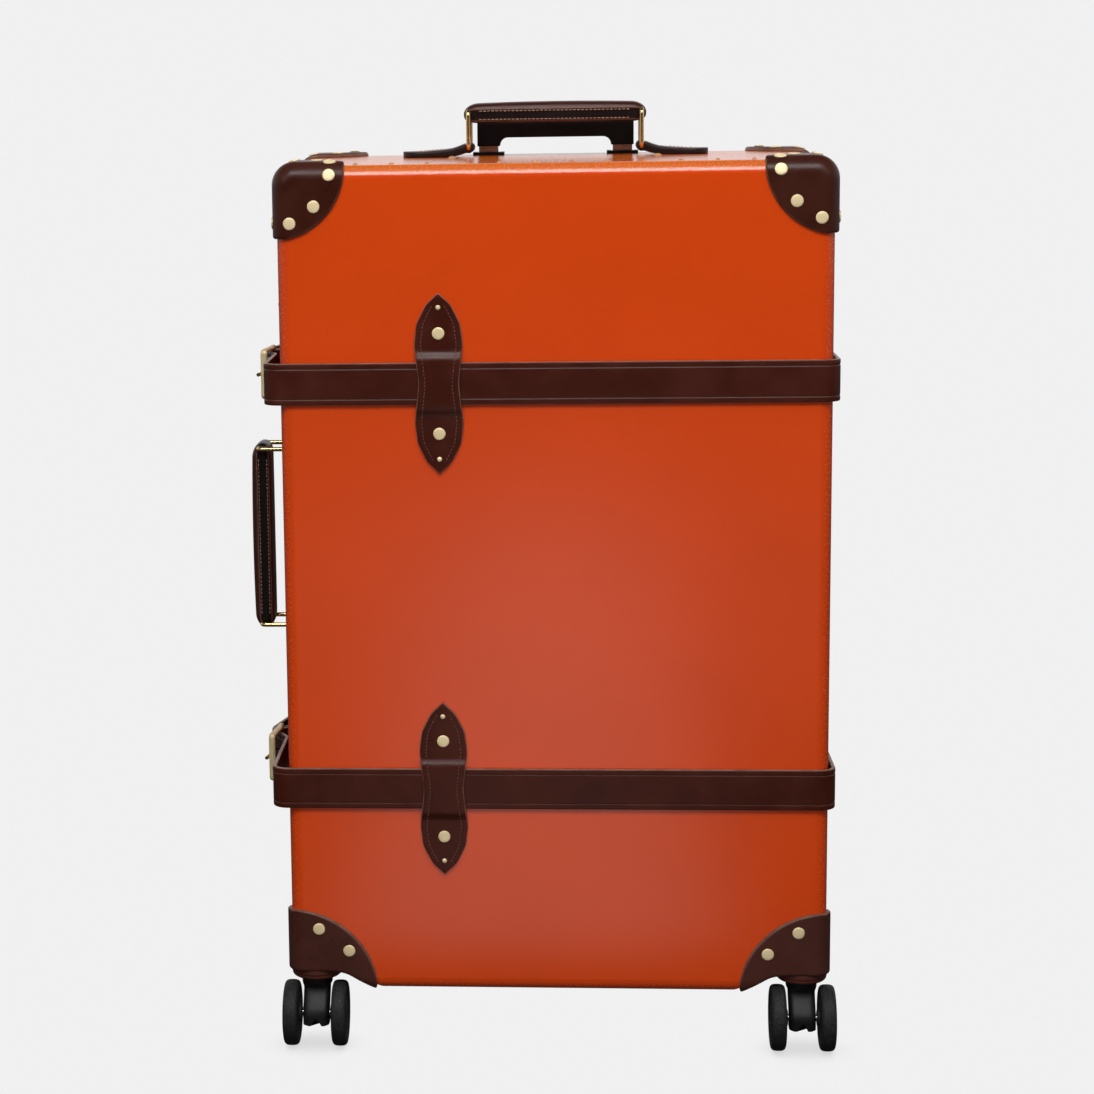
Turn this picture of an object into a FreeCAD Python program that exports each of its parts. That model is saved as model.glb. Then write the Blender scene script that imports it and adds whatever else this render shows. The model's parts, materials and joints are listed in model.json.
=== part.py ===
import FreeCAD, Part
import math
import os

# Upright trunk-style suitcase: two hard half shells that part like a book, on four swivel casters.
# Millimetres. X to the right and Y away from someone facing the front, Z up.
# The origin is on the floor under the middle of the case.

Vector = FreeCAD.Vector

# Case
case_width = 460.0
case_height = 710.0
case_depth = 270.0
rear_depth = 108.0
bottom_above_floor = 51.5
wall = 2.5
face_edge_radius = 11.0
corner_radius = 16.0
split_gap = 0.4
rim_thickness = 7.0
rim_depth = 22.0
lining_thickness = 1.2
board_thickness = 2.0
board_from_back = 50.0

# Clearances
seat_gap = 0.1
body_gap = 0.4
pin_clearance = 0.06
overrun = 5.0

# Caster pockets in the bottom corners
pocket_height = 21.5
pocket_flat = 43.5
pocket_reach = 80.2

# Leather corner caps
cap_thickness = 3.6
top_cap_reach = 58.0
top_cap_rise = 60.5
bottom_cap_reach = 74.5
bottom_cap_rise = 72.0

# Rivets, nails and studs
rivet_diameter = 10.4
rivet_dome = 1.8
rivet_shank_diameter = 3.0
nail_diameter = 4.4
nail_dome = 1.3
nail_shank_diameter = 1.6
nail_pitch = 30.0
nail_row_from_front = 25.0
stud_diameter = 8.0
stud_dome = 2.0
stud_spacing = 180.0
stud_from_split = 7.0
side_stud_height = 594.0
top_cap_rivet_shares = ((0.779, 0.121), (0.553, 0.550), (0.203, 0.778))
bottom_cap_rivet_shares = ((0.329, 0.771), (0.677, 0.503))

# Straps, keepers and buckles
strap_width = 35.0
strap_thickness = 3.5
upper_strap_height = 529.0
lower_strap_height = 181.0
strap_stand_left = 10.2
strap_stand_right = 2.4
strap_gap = 0.3
strap_bend = 12.0
keeper_x = -96.0
keeper_length = 151.0
keeper_width = 41.0
keeper_thickness = 3.2
keeper_bend = 4.0
keeper_ramp = 7.0
keeper_rivet_spacing = 84.0
keeper_nail_spacing = 127.0
keeper_outline_shares = ((0.82, 0.0), (0.90, 0.21), (1.0, 0.43), (0.90, 0.66), (0.52, 0.87), (0.0, 1.0))
buckle_height = 44.2
buckle_length = 41.0
buckle_wire = 3.8
buckle_corner = 2.4
upper_buckle_from_front = 116.6
lower_buckle_from_front = 140.0
upper_buckle_stand = 17.0
lower_buckle_stand = 20.5
buckle_tilt_deg = 7.7
buckle_strap_bend = 8.0
buckle_strap_flat_share = 0.4
buckle_fold_thickness = 3.0
prong_diameter = 3.2
prong_loop_height = 6.0
prong_overhang = 3.0
prong_slot_tail = 14.0
billet_tail = 87.0
billet_through_share = 0.8
prong_slot_share = 0.62
prong_loop_share = 0.8

# Carry handles
handle_place_share = 0.395
side_handle_height = 369.0
top_ring_spacing = 152.5
side_ring_spacing = 162.4
ring_wire = 4.0
ring_rise = 32.0
ring_width = 46.0
ring_corner = 3.5
ring_bar_stand = 8.0
top_chape_length = 59.0
side_chape_length = 50.0
chape_width = 36.0
chape_thickness = 4.5
chape_loop_diameter = 10.0
grip_past_ring = 4.25
grip_width = 38.0
grip_thickness = 16.8
grip_below_bar = 10.0
grip_edge = 5.0

# Pull handle
pull_from_back = 32.0
pull_tube_from_end = 10.0
top_tube_width = 17.5
top_tube_depth = 10.0
tube_wall = 1.2
tube_clearance = 0.3
tube_overlap = 420.0
bezel_width = 28.0
bezel_depth = 24.0
bezel_thickness = 2.5
pull_grip_width = 141.0
pull_grip_depth = 22.0
pull_grip_top = 35.0
pull_grip_foot = 8.0
pull_grip_arch = 15.6
pull_grip_edge = 5.0
pull_grip_soft_edge = 1.5
button_width = 34.0
button_depth = 11.0
button_thickness = 9.0
button_proud = 2.0
button_travel = 3.0
button_clearance = 0.4

# Casters
caster_from_side = 20.0
caster_from_face = 19.0
housing_diameter = 44.0
housing_bottom = 7.6
housing_round = 7.5
stem_diameter = 10.0
fork_cap_diameter = 27.0
fork_cap_height = 7.0
fork_width = 23.0
fork_floor_gap = 18.5
fork_notch_width = 7.0
fork_notch_height = 5.0
caster_trail = 14.0
wheel_diameter = 57.0
wheel_width = 13.0
wheel_span = 55.0
wheel_edge = 4.5
wheel_dish = 1.5
wheel_dish_diameter = 40.0
axle_diameter = 6.0

# Hinges on the right side and locks on the left
hinge_from_strap = 36.0
hinge_length = 54.0
hinge_leaf_width = 24.0
hinge_leaf_thickness = 1.6
hinge_knuckle_diameter = 7.2
hinge_pin_diameter = 3.2
hinge_axis_stand = 5.0
lower_lock_share = 0.643
upper_lock_share = 0.327
lock_height = 36.0
lock_depth = 25.0
lock_thickness = 7.0
lock_edge = 1.5
hasp_axis_from_split = 17.0
hasp_axis_stand = 5.2
hasp_knuckle_diameter = 6.0
hasp_pin_diameter = 3.0
hasp_neck_height = 15.0
hasp_plate_height = 22.0
hasp_plate_thickness = 1.6
hasp_reach = 36.0
hasp_mount_height = 28.0
hasp_mount_depth = 22.0
hasp_mount_thickness = 2.0

# Places worked out from the sizes above
half_width = case_width / 2
half_depth = case_depth / 2
case_bottom = bottom_above_floor
case_top = bottom_above_floor + case_height
split_y = half_depth - rear_depth
pull_y = half_depth - pull_from_back
handle_y = split_y + handle_place_share * (pull_y - split_y)
axis_x = Vector(1, 0, 0)
axis_y = Vector(0, 1, 0)
axis_z = Vector(0, 0, 1)
origin = Vector(0, 0, 0)

nodes = {}


def keep(name, *solids):
    # One node: a single solid, or a group of separate ones.
    nodes[name] = solids[0] if len(solids) == 1 else Part.makeCompound(list(solids))


def set_at(shape, place, along, across):
    # A copy whose own X runs along one direction and whose own Y runs across it.
    copy = shape.copy()
    turn = FreeCAD.Rotation(along, across, along.cross(across), "XYZ")
    copy.Placement = FreeCAD.Placement(place, turn).multiply(shape.Placement)
    return copy


def point_at(shape, place, outward):
    # A copy whose own Z points outward.
    copy = shape.copy()
    copy.Placement = FreeCAD.Placement(place, FreeCAD.Rotation(axis_z, outward)).multiply(shape.Placement)
    return copy


def block(low, high):
    size = high - low
    return Part.makeBox(size.x, size.y, size.z, low)


def prism(points, depth):
    # A straight-sided solid on the polygon, from its plane along depth.
    return Part.Face(Part.makePolygon(list(points) + [points[0]])).extrude(depth)


def bar(start, end, diameter):
    return Part.makeCylinder(diameter / 2, (end - start).Length, start, end - start)


def band(points, bends, thickness):
    # A face in the XY plane: a strip of even thickness along straight runs that are joined by arcs.
    path = [Vector(u, v, 0) for u, v in points]
    runs = [(end - start).normalize() for start, end in zip(path, path[1:])]
    sides = {}
    for side in (-1, 1):
        shift = [Vector(-run.y, run.x, 0) * (side * thickness / 2) for run in runs]
        edges = []
        last = path[0] + shift[0]
        for corner, bend, before, after, move_in, move_out in zip(
                path[1:-1], bends, runs, runs[1:], shift, shift[1:]):
            turn = math.atan2(before.cross(after).z, before.dot(after))
            hand = math.copysign(1, turn)
            cut_back = bend * math.tan(abs(turn) / 2)
            start = corner - before * cut_back
            centre = start + Vector(-before.y, before.x, 0) * (hand * bend)
            radius = bend - hand * side * thickness / 2
            middle = centre + (corner - centre).normalize() * radius
            end = corner + after * cut_back + move_out
            edges.append(Part.LineSegment(last, start + move_in).toShape())
            edges.append(Part.Arc(start + move_in, middle, end).toShape())
            last = end
        edges.append(Part.LineSegment(last, path[-1] + shift[-1]).toShape())
        sides[side] = (path[0] + shift[0], edges, path[-1] + shift[-1])
    ends = [Part.LineSegment(sides[-1][at], sides[1][at]).toShape() for at in (0, 2)]
    outline = sides[-1][1] + sides[1][1] + ends
    return Part.Face(Part.Wire(Part.__sortEdges__(outline)))


def wire_ring(length, width, wire, corner):
    # A closed ring of round wire in the XY plane, rounded at its corners, measured along the wire's middle.
    along = length / 2
    across = width / 2
    inset = corner * (1 - math.cos(math.pi / 4))
    edges = []
    for sign_u, sign_v in ((1, 1), (-1, 1), (-1, -1), (1, -1)):
        side_end = Vector(sign_u * along, sign_v * (across - corner), 0)
        top_end = Vector(sign_u * (along - corner), sign_v * across, 0)
        middle = Vector(sign_u * (along - inset), sign_v * (across - inset), 0)
        edges.append(Part.Arc(side_end, middle, top_end).toShape())
    for sign in (-1, 1):
        edges.append(Part.LineSegment(Vector(sign * along, corner - across, 0),
                                      Vector(sign * along, across - corner, 0)).toShape())
        edges.append(Part.LineSegment(Vector(corner - along, sign * across, 0),
                                      Vector(along - corner, sign * across, 0)).toShape())
    path = Part.Wire(Part.__sortEdges__(edges))
    start = path.OrderedEdges[0]
    profile = Part.Wire(Part.makeCircle(wire / 2, start.valueAt(start.FirstParameter),
                                        start.tangentAt(start.FirstParameter)))
    return path.makePipeShell([profile], True, False)


def rivet(diameter, dome, shank_diameter, grip):
    # A domed head on a plain shank that ends at the far side of what it holds.
    head = diameter / 2
    shank = shank_diameter / 2
    ball = (head * head + dome * dome) / (2 * dome)
    half_angle = math.asin(head / ball) / 2
    rise = ball * math.cos(half_angle) - (ball - dome)
    corners = [Vector(0, 0, dome), Vector(0, 0, -grip), Vector(shank, 0, -grip), Vector(shank, 0, 0),
               Vector(head, 0, 0)]
    edges = [Part.LineSegment(start, end).toShape() for start, end in zip(corners, corners[1:])]
    crown = Vector(ball * math.sin(half_angle), 0, rise)
    edges.append(Part.Arc(corners[-1], crown, corners[0]).toShape())
    return Part.Face(Part.Wire(edges)).revolve(origin, axis_z, 360)


def shank_hole(shank_diameter, grip):
    return Part.makeCylinder(shank_diameter / 2 + seat_gap, grip + 2 * overrun, Vector(0, 0, -grip - overrun))


def fastened(solid, places, diameter, dome, shank_diameter, grip):
    # The solid with a hole at each (point, outward) place, and the fasteners that fill the holes.
    head = rivet(diameter, dome, shank_diameter, grip)
    hole = shank_hole(shank_diameter, grip)
    holes = [point_at(hole, place, outward) for place, outward in places]
    return solid.cut(Part.makeCompound(holes)), [point_at(head, place, outward) for place, outward in places]


def pocket(side_x, side_y, offset):
    # The hollow for a caster in one bottom corner of the case form that is grown by offset.
    run = pocket_reach - pocket_flat
    shift = offset / math.sin(math.atan2(pocket_height, run))
    ceiling = pocket_height - offset
    outside = -2 * overrun
    reach_low = pocket_reach - outside * run / pocket_height - shift
    reach_high = pocket_reach - ceiling * run / pocket_height - shift
    outline = ((outside, outside), (reach_low, outside), (reach_high, ceiling), (outside, ceiling))
    seen_from_front = [Vector(side_x * (half_width - inward), -case_depth, case_bottom + rise)
                       for inward, rise in outline]
    seen_from_side = [Vector(-case_width, side_y * (half_depth - inward), case_bottom + rise)
                      for inward, rise in outline]
    return prism(seen_from_front, axis_y * (2 * case_depth)).common(
        prism(seen_from_side, axis_x * (2 * case_width)))


def case_form(offset):
    # The whole closed case, grown by offset, with rounded edges and its four caster pockets.
    reach = Vector(half_width + offset, half_depth + offset, offset)
    form = block(Vector(-reach.x, -reach.y, case_bottom - offset),
                 Vector(reach.x, reach.y, case_top + offset))
    along_y = [edge for edge in form.Edges if abs(edge.tangentAt(edge.FirstParameter).y) > 0.5]
    form = form.makeFillet(corner_radius + offset, along_y)
    for side in (-1, 1):
        rim = [edge for edge in form.Edges
               if all(abs(vertex.Y - side * reach.y) < seat_gap for vertex in edge.Vertexes)]
        form = form.makeFillet(face_edge_radius + offset, rim)
    for side_x in (-1, 1):
        for side_y in (-1, 1):
            form = form.cut(pocket(side_x, side_y, offset))
    return form


def between(shape, low_y, high_y):
    return shape.common(block(Vector(-case_width, low_y, -case_height),
                              Vector(case_width, high_y, 2 * case_height)))


lid_edge = split_y - split_gap / 2
rear_edge = split_y + split_gap / 2
halves = {"front": (-case_depth, lid_edge), "rear": (rear_edge, case_depth)}
side_of = {"front": -1, "rear": 1}
outer_form = case_form(0)
inside_form = case_form(-wall - seat_gap)


# Shells, rims and linings

def shell_half(name):
    return between(outer_form.cut(case_form(-wall)), *halves[name])


def rim_frame(name):
    ring = inside_form.cut(case_form(-wall - rim_thickness))
    edge = {"front": (lid_edge - rim_depth, lid_edge), "rear": (rear_edge, rear_edge + rim_depth)}[name]
    return between(ring, *edge)


def lining(name):
    layer = inside_form.cut(case_form(-wall - seat_gap - lining_thickness))
    span = {"front": (-case_depth, lid_edge - rim_depth - seat_gap),
            "rear": (rear_edge + rim_depth + seat_gap, board_y - seat_gap)}[name]
    return between(layer, *span)


board_y = half_depth - board_from_back
shells = {name: shell_half(name) for name in halves}
keep("front_rim_frame", rim_frame("front"))
keep("rear_rim_frame", rim_frame("rear"))
keep("front_lining", lining("front"))
keep("rear_lining", lining("rear"))
keep("pull_handle_board", between(inside_form, board_y, board_y + board_thickness))


# Leather corner caps and their rivets

cap_layer = case_form(cap_thickness).cut(case_form(seat_gap))


def oval_prism(centre, along, across, reach, rise):
    # An elliptical bar through centre, square to both directions.
    if rise > reach:
        along, across, reach, rise = across, along, rise, reach
    curve = Part.Circle(origin, axis_z, reach) if reach == rise else Part.Ellipse(origin, reach, rise)
    oval = Part.Face(Part.Wire(curve.toShape()))
    depth = 2 * reach
    return set_at(oval.extrude(axis_z * (2 * depth)), centre - along.cross(across) * depth, along, across)


def corner_cap(side_x, side_y, level, reach, rise):
    corner = Vector(side_x * half_width, side_y * half_depth, level)
    spread = Vector(reach, reach, reach)
    cap = cap_layer.common(block(corner - spread, corner + spread))
    for along, across, tall in ((axis_x, axis_z, rise), (axis_y, axis_z, rise), (axis_x, axis_y, reach)):
        cap = cap.common(oval_prism(corner, along, across, reach, tall))
    return cap


def cap_rivet_places(side_x, side_y, level, up, reach, rise, shares):
    # Rivet places on a cap's upright faces, and on top of an upper one. Shares count in from the corner.
    out = cap_thickness
    places = []
    for along_share, rise_share in shares:
        inward = along_share * reach
        lift = level - up * rise_share * rise
        x_in = side_x * (half_width - inward)
        y_in = side_y * (half_depth - inward)
        places.append((Vector(x_in, side_y * (half_depth + out), lift), axis_y * side_y))
        places.append((Vector(side_x * (half_width + out), y_in, lift), axis_x * side_x))
        if up > 0:
            y_on_top = side_y * (half_depth - rise_share * rise)
            places.append((Vector(x_in, y_on_top, level + up * out), axis_z * up))
    return places


rivets = {"front": [], "rear": []}
for name, side_y in side_of.items():
    top_caps = []
    bottom_caps = []
    for side_x in (-1, 1):
        for caps, level, up, reach, rise, shares in (
                (top_caps, case_top, 1, top_cap_reach, top_cap_rise, top_cap_rivet_shares),
                (bottom_caps, case_bottom, -1, bottom_cap_reach, bottom_cap_rise, bottom_cap_rivet_shares)):
            places = cap_rivet_places(side_x, side_y, level, up, reach, rise, shares)
            cap, heads = fastened(corner_cap(side_x, side_y, level, reach, rise), places, rivet_diameter,
                                  rivet_dome, rivet_shank_diameter, cap_thickness - seat_gap)
            caps.append(cap)
            rivets[name] += heads
    keep(name + "_top_caps", *top_caps)
    keep(name + "_bottom_caps", *bottom_caps)


# Small nails and studs in the front shell

nail_places = []
nail_count = int((case_width - 2 * top_cap_reach) / nail_pitch)
for step in range(nail_count + 1):
    across = (step - nail_count / 2) * nail_pitch
    nail_places.append((Vector(across, nail_row_from_front - half_depth, case_top), axis_z))
front_shell, nails = fastened(shells["front"], nail_places, nail_diameter, nail_dome,
                              nail_shank_diameter, wall)
stud_row_y = split_y - stud_from_split
stud_places = [(Vector(side * stud_spacing / 2, stud_row_y, case_top), axis_z) for side in (-1, 1)]
side_stud = Vector(-half_width, nail_row_from_front - half_depth, case_bottom + side_stud_height)
stud_places.append((side_stud, -axis_x))
front_shell, studs = fastened(front_shell, stud_places, stud_diameter, stud_dome, nail_shank_diameter, wall)
keep("front_shell", front_shell)
keep("front_studs", *nails, *studs)


# Straps

strap_levels = {"upper": case_bottom + upper_strap_height, "lower": case_bottom + lower_strap_height}
strap_off = strap_gap + strap_thickness / 2
heels = {"upper": Vector(-half_width - upper_buckle_stand, upper_buckle_from_front - half_depth, 0),
         "lower": Vector(-half_width - lower_buckle_stand, lower_buckle_from_front - half_depth, 0)}
tilt = math.radians(buckle_tilt_deg)
to_toe = Vector(-math.sin(tilt), -math.cos(tilt), 0)
out_of_buckle = Vector(-math.cos(tilt), math.sin(tilt), 0)
heel_to_toe = to_toe * buckle_length
fold_radius = buckle_wire / 2 + seat_gap + buckle_fold_thickness
slot_half = prong_loop_height / 2 + body_gap


def strap_solid(points, bends, level):
    face = band(points, bends, strap_thickness)
    return face.extrude(axis_z * strap_width).translated(axis_z * (level - strap_width / 2))


def front_strap(level, heel):
    # From the hinge side round the front, under the buckle's toe, out through it and back over its heel.
    right = half_width + strap_off
    left = -half_width - strap_off - strap_stand_left
    front = -half_depth - strap_off
    over_heel = heel.x - fold_radius - strap_off
    through = heel.y - buckle_length * billet_through_share
    tail_end = heel.y + billet_tail
    tail_x = -half_width - strap_thickness - 2 * strap_off
    points = [(right, lid_edge), (right + strap_stand_right, front), (left, front), (left, through),
              (over_heel, heel.y - strap_thickness), (over_heel, heel.y + strap_thickness),
              (tail_x, tail_end)]
    bends = [strap_bend, strap_bend, strap_bend, strap_thickness, strap_thickness]
    strap = strap_solid(points, bends, level)
    slot_start = heel.y - buckle_length * prong_slot_share
    slot_end = heel.y + prong_slot_tail
    slot = block(Vector(over_heel - 2 * strap_width, slot_start, level - prong_diameter / 2 - body_gap),
                 Vector(heel.x + buckle_length / 2, slot_end, level + prong_diameter / 2 + body_gap))
    return strap.cut(slot)


def rear_strap(level):
    side = half_width + strap_off
    back = half_depth + strap_off
    points = [(side, rear_edge), (side, back), (-side, back), (-side, rear_edge)]
    return strap_solid(points, [strap_bend, strap_bend], level)


def buckle_strap(level, heel):
    # The short strap on the left side that is folded round the buckle's heel bar.
    side = -half_width - strap_off
    inner = heel.x + fold_radius - strap_thickness / 2
    bend_y = lid_edge - buckle_strap_flat_share * (lid_edge - heel.y)
    strip = strap_solid([(side, lid_edge), (side, bend_y), (inner, heel.y)], [buckle_strap_bend], level)
    low = Vector(heel.x, heel.y, level - strap_width / 2)
    fold = bar(low, low + axis_z * strap_width, 2 * fold_radius)
    hole = bar(low - axis_z * overrun, low + axis_z * (strap_width + overrun), buckle_wire + 2 * seat_gap)
    slot = block(Vector(heel.x - strap_width, heel.y - strap_width, level - slot_half),
                 Vector(heel.x + strap_width, heel.y + 2 * fold_radius, level + slot_half))
    return strip.fuse(fold).removeSplitter().cut(hole).cut(slot)


def buckle_frame(level, heel):
    ring = wire_ring(buckle_length, buckle_height - buckle_wire, buckle_wire, buckle_corner)
    return set_at(ring, heel + heel_to_toe / 2 + axis_z * level, to_toe, axis_z)


def buckle_prong(level, heel):
    middle = heel + axis_z * level
    reach = axis_z * (prong_loop_height / 2)
    loop_diameter = buckle_wire + 2 * pin_clearance + 2 * buckle_fold_thickness * prong_loop_share
    loop = bar(middle - reach, middle + reach, loop_diameter)
    root = middle + out_of_buckle * ((loop_diameter - prong_diameter) / 2)
    tip = middle + heel_to_toe + out_of_buckle * ((buckle_wire + prong_diameter) / 2 + seat_gap)
    rod = bar(root, tip + to_toe * prong_overhang, prong_diameter)
    bore = bar(middle - reach * 2, middle + reach * 2, buckle_wire + 2 * pin_clearance)
    return loop.fuse(rod).removeSplitter().cut(bore)


for name, level in strap_levels.items():
    keep("front_strap_" + name, front_strap(level, heels[name]))
    keep("rear_strap_" + name, rear_strap(level))
    keep("buckle_prong_" + name, buckle_prong(level, heels[name]))
keep("buckle_straps", *[buckle_strap(level, heels[name]) for name, level in strap_levels.items()])
keep("buckle_frames", *[buckle_frame(level, heels[name]) for name, level in strap_levels.items()])


# Strap keepers

def keeper(centre_x, level, side_y):
    # A waisted leather plate with pointed ends that arches over the strap and lies flat beyond it.
    half = [Vector(keeper_width / 2 * across, 0, keeper_length / 2 * along)
            for across, along in keeper_outline_shares]
    quarters = []
    for sign_x in (-1, 1):
        for sign_z in (-1, 1):
            curve = Part.BSplineCurve()
            curve.interpolate([Vector(point.x * sign_x, 0, point.z * sign_z) for point in half])
            quarters.append(curve.toShape())
    outline = Part.Face(Part.Wire(Part.__sortEdges__(quarters)))
    low = seat_gap + keeper_thickness / 2
    high = strap_gap + strap_thickness + seat_gap + keeper_thickness / 2
    step = strap_width / 2 + seat_gap + keeper_thickness
    far = keeper_length / 2 + overrun
    path = [(-far, low), (-step - keeper_ramp, low), (-step, high), (step, high), (step + keeper_ramp, low),
            (far, low)]
    arch = band(path, [keeper_bend] * 4, keeper_thickness).extrude(axis_z * (2 * keeper_width))
    face_y = side_y * half_depth
    middle = Vector(centre_x, face_y, level)
    along = axis_z * -side_y
    arch = set_at(arch, middle - along.cross(axis_y * side_y) * keeper_width, along, axis_y * side_y)
    reach = high + keeper_thickness
    plate = outline.extrude(axis_y * (2 * reach)).translated(middle - axis_y * reach)
    return arch.common(plate)


def keeper_set(name, centre_x, level):
    side_y = side_of[name]
    outward = axis_y * side_y
    outer = side_y * (half_depth + seat_gap + keeper_thickness)
    middle = Vector(centre_x, outer, level)
    rivet_reach = axis_z * (keeper_rivet_spacing / 2)
    nail_reach = axis_z * (keeper_nail_spacing / 2)
    rivet_places = [(middle + rivet_reach * side, outward) for side in (-1, 1)]
    piece, heads = fastened(keeper(centre_x, level, side_y), rivet_places, rivet_diameter, rivet_dome,
                            rivet_shank_diameter, keeper_thickness)
    nail_places = [(middle + nail_reach * side, outward) for side in (-1, 1)]
    piece, small_heads = fastened(piece, nail_places, nail_diameter, nail_dome, nail_shank_diameter,
                                  keeper_thickness)
    rivets[name] += heads + small_heads
    return piece


for name, columns in (("front", (keeper_x,)), ("rear", (keeper_x, -keeper_x))):
    keep(name + "_keepers", *[keeper_set(name, x, level) for x in columns for level in strap_levels.values()])
    keep(name + "_rivets", *rivets[name])


# Carry handles, built about a point on the panel: X along the handle, Z out of the panel

top_panel = (Vector(0, handle_y, case_top), axis_x, axis_y)
left_panel = (Vector(-half_width, handle_y, case_bottom + side_handle_height), axis_z, axis_y)
upper_bar = ring_bar_stand + ring_rise


def chape(side, length, ring_spacing):
    # The leather tab that is sewn round a ring's lower bar and fixed flat to the panel.
    near = ring_spacing / 2
    straight = length - chape_width / 2
    low = Vector(near, -chape_width / 2, seat_gap)
    tab = block(low, Vector(near + straight, chape_width / 2, seat_gap + chape_thickness))
    tip = Part.makeCylinder(chape_width / 2, chape_thickness, Vector(near + straight, 0, seat_gap))
    start = Vector(near, -chape_width / 2, ring_bar_stand)
    end = Vector(near, chape_width / 2, ring_bar_stand)
    loop = bar(start, end, chape_loop_diameter)
    hole = bar(start - axis_y * overrun, end + axis_y * overrun, ring_wire + 2 * pin_clearance)
    tab = tab.fuse([tip, loop]).removeSplitter().cut(hole)
    return tab if side > 0 else tab.mirror(origin, axis_x)


def handle_ring(side, ring_spacing):
    ring = wire_ring(ring_width, ring_rise, ring_wire, ring_corner)
    middle = Vector(side * ring_spacing / 2, 0, ring_bar_stand + ring_rise / 2)
    return set_at(ring, middle, axis_y, axis_z)


def handle_grip(ring_spacing):
    bottom = upper_bar - grip_below_bar
    reach = ring_spacing / 2 + grip_past_ring
    grip = block(Vector(-reach, -grip_width / 2, bottom),
                 Vector(reach, grip_width / 2, bottom + grip_thickness))
    grip = grip.makeFillet(grip_edge, grip.Edges)
    for side in (-1, 1):
        start = Vector(side * ring_spacing / 2, -grip_width, upper_bar)
        grip = grip.cut(bar(start, start + axis_y * (2 * grip_width), ring_wire + 2 * pin_clearance))
    return grip


handles = {"top": (top_panel, top_chape_length, top_ring_spacing, ("left", "right")),
           "side": (left_panel, side_chape_length, side_ring_spacing, ("lower", "upper"))}
chapes = []
for name, (panel, chape_length, spacing, ends) in handles.items():
    for side, end in zip((-1, 1), ends):
        chapes.append(set_at(chape(side, chape_length, spacing), *panel))
        keep(name + "_ring_" + end, set_at(handle_ring(side, spacing), *panel))
    keep(name + "_grip", set_at(handle_grip(spacing), *panel))
keep("handle_chapes", *chapes)


# Pull handle

tube_x = pull_grip_width / 2 - pull_tube_from_end
tube_places = [Vector(side * tube_x, pull_y, 0) for side in (-1, 1)]
tube_step = 2 * (tube_clearance + tube_wall)
middle_tube_width = top_tube_width + tube_step
middle_tube_depth = top_tube_depth + tube_step
bezel_low = case_top + seat_gap
bezel_high = bezel_low + bezel_thickness


def upright(width, depth, low, high):
    return block(Vector(-width / 2, -depth / 2, low), Vector(width / 2, depth / 2, high))


def tube(width, depth, low, high):
    bore = upright(width - 2 * tube_wall, depth - 2 * tube_wall, low - overrun, high + overrun)
    return upright(width, depth, low, high).cut(bore)


def pull_grip():
    # A bar with two feet over the tubes, a raised underside between them and a well for the button.
    half = pull_grip_width / 2
    inner_foot = tube_x - middle_tube_width / 2
    corners = [Vector(inner_foot, 0, pull_grip_foot), Vector(half, 0, pull_grip_foot),
               Vector(half, 0, pull_grip_top), Vector(-half, 0, pull_grip_top),
               Vector(-half, 0, pull_grip_foot), Vector(-inner_foot, 0, pull_grip_foot)]
    edges = [Part.LineSegment(start, end).toShape() for start, end in zip(corners, corners[1:])]
    rise = pull_grip_arch - pull_grip_foot
    lean = rise * math.cos(math.pi / 4)
    arch_ends = []
    for side in (-1, 1):
        centre = Vector(side * (inner_foot - rise), 0, pull_grip_foot)
        arch_ends.append(centre + axis_z * rise)
        edges.append(Part.Arc(Vector(side * inner_foot, 0, pull_grip_foot),
                              centre + Vector(side * lean, 0, lean),
                              arch_ends[-1]).toShape())
    edges.append(Part.LineSegment(*arch_ends).toShape())
    grip = Part.Face(Part.Wire(Part.__sortEdges__(edges))).extrude(axis_y * pull_grip_depth)
    grip = grip.translated(axis_y * (pull_y - pull_grip_depth / 2) + axis_z * case_top)
    top = [edge for edge in grip.Edges
           if all(vertex.Z > case_top + pull_grip_top - seat_gap for vertex in edge.Vertexes)]
    grip = grip.makeFillet(pull_grip_edge, top)
    under = [edge for edge in grip.Edges
             if edge.BoundBox.YLength < seat_gap
             and edge.BoundBox.ZMax < case_top + pull_grip_arch + seat_gap]
    grip = grip.makeFillet(pull_grip_soft_edge, under)
    well_low = button_low - button_travel - button_clearance
    well = upright(button_width + 2 * button_clearance, button_depth + 2 * button_clearance, well_low,
                   case_top + pull_grip_top + overrun)
    return grip.cut(well.translated(axis_y * pull_y))


button_low = case_top + pull_grip_top + button_proud - button_thickness
button = upright(button_width, button_depth, button_low, button_low + button_thickness)
button = button.makeFillet(button_proud, [edge for edge in button.Edges if edge.BoundBox.ZMin > button_low])
keep("pull_button", button.translated(axis_y * pull_y))
keep("pull_grip", pull_grip())
tube_end = bezel_high - tube_overlap
top_tube = tube(top_tube_width, top_tube_depth, tube_end, case_top + pull_grip_foot)
middle_tube = tube(middle_tube_width, middle_tube_depth, tube_end, bezel_high)
guide = tube(middle_tube_width + tube_step, middle_tube_depth + tube_step, case_bottom + wall + seat_gap,
             case_top - wall - seat_gap)
passage = upright(middle_tube_width + 2 * tube_clearance, middle_tube_depth + 2 * tube_clearance,
                  case_top - wall - overrun, bezel_high + overrun)
bezel = upright(bezel_width, bezel_depth, bezel_low, bezel_high).cut(passage)
keep("pull_top_tubes", *[top_tube.translated(place) for place in tube_places])
keep("pull_middle_tubes", *[middle_tube.translated(place) for place in tube_places])
keep("pull_guides", *[guide.translated(place) for place in tube_places])
keep("pull_bezels", *[bezel.translated(place) for place in tube_places])
tube_passages = Part.makeCompound([passage.translated(place) for place in tube_places])
keep("rear_shell", shells["rear"].cut(tube_passages))


# Casters

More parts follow.
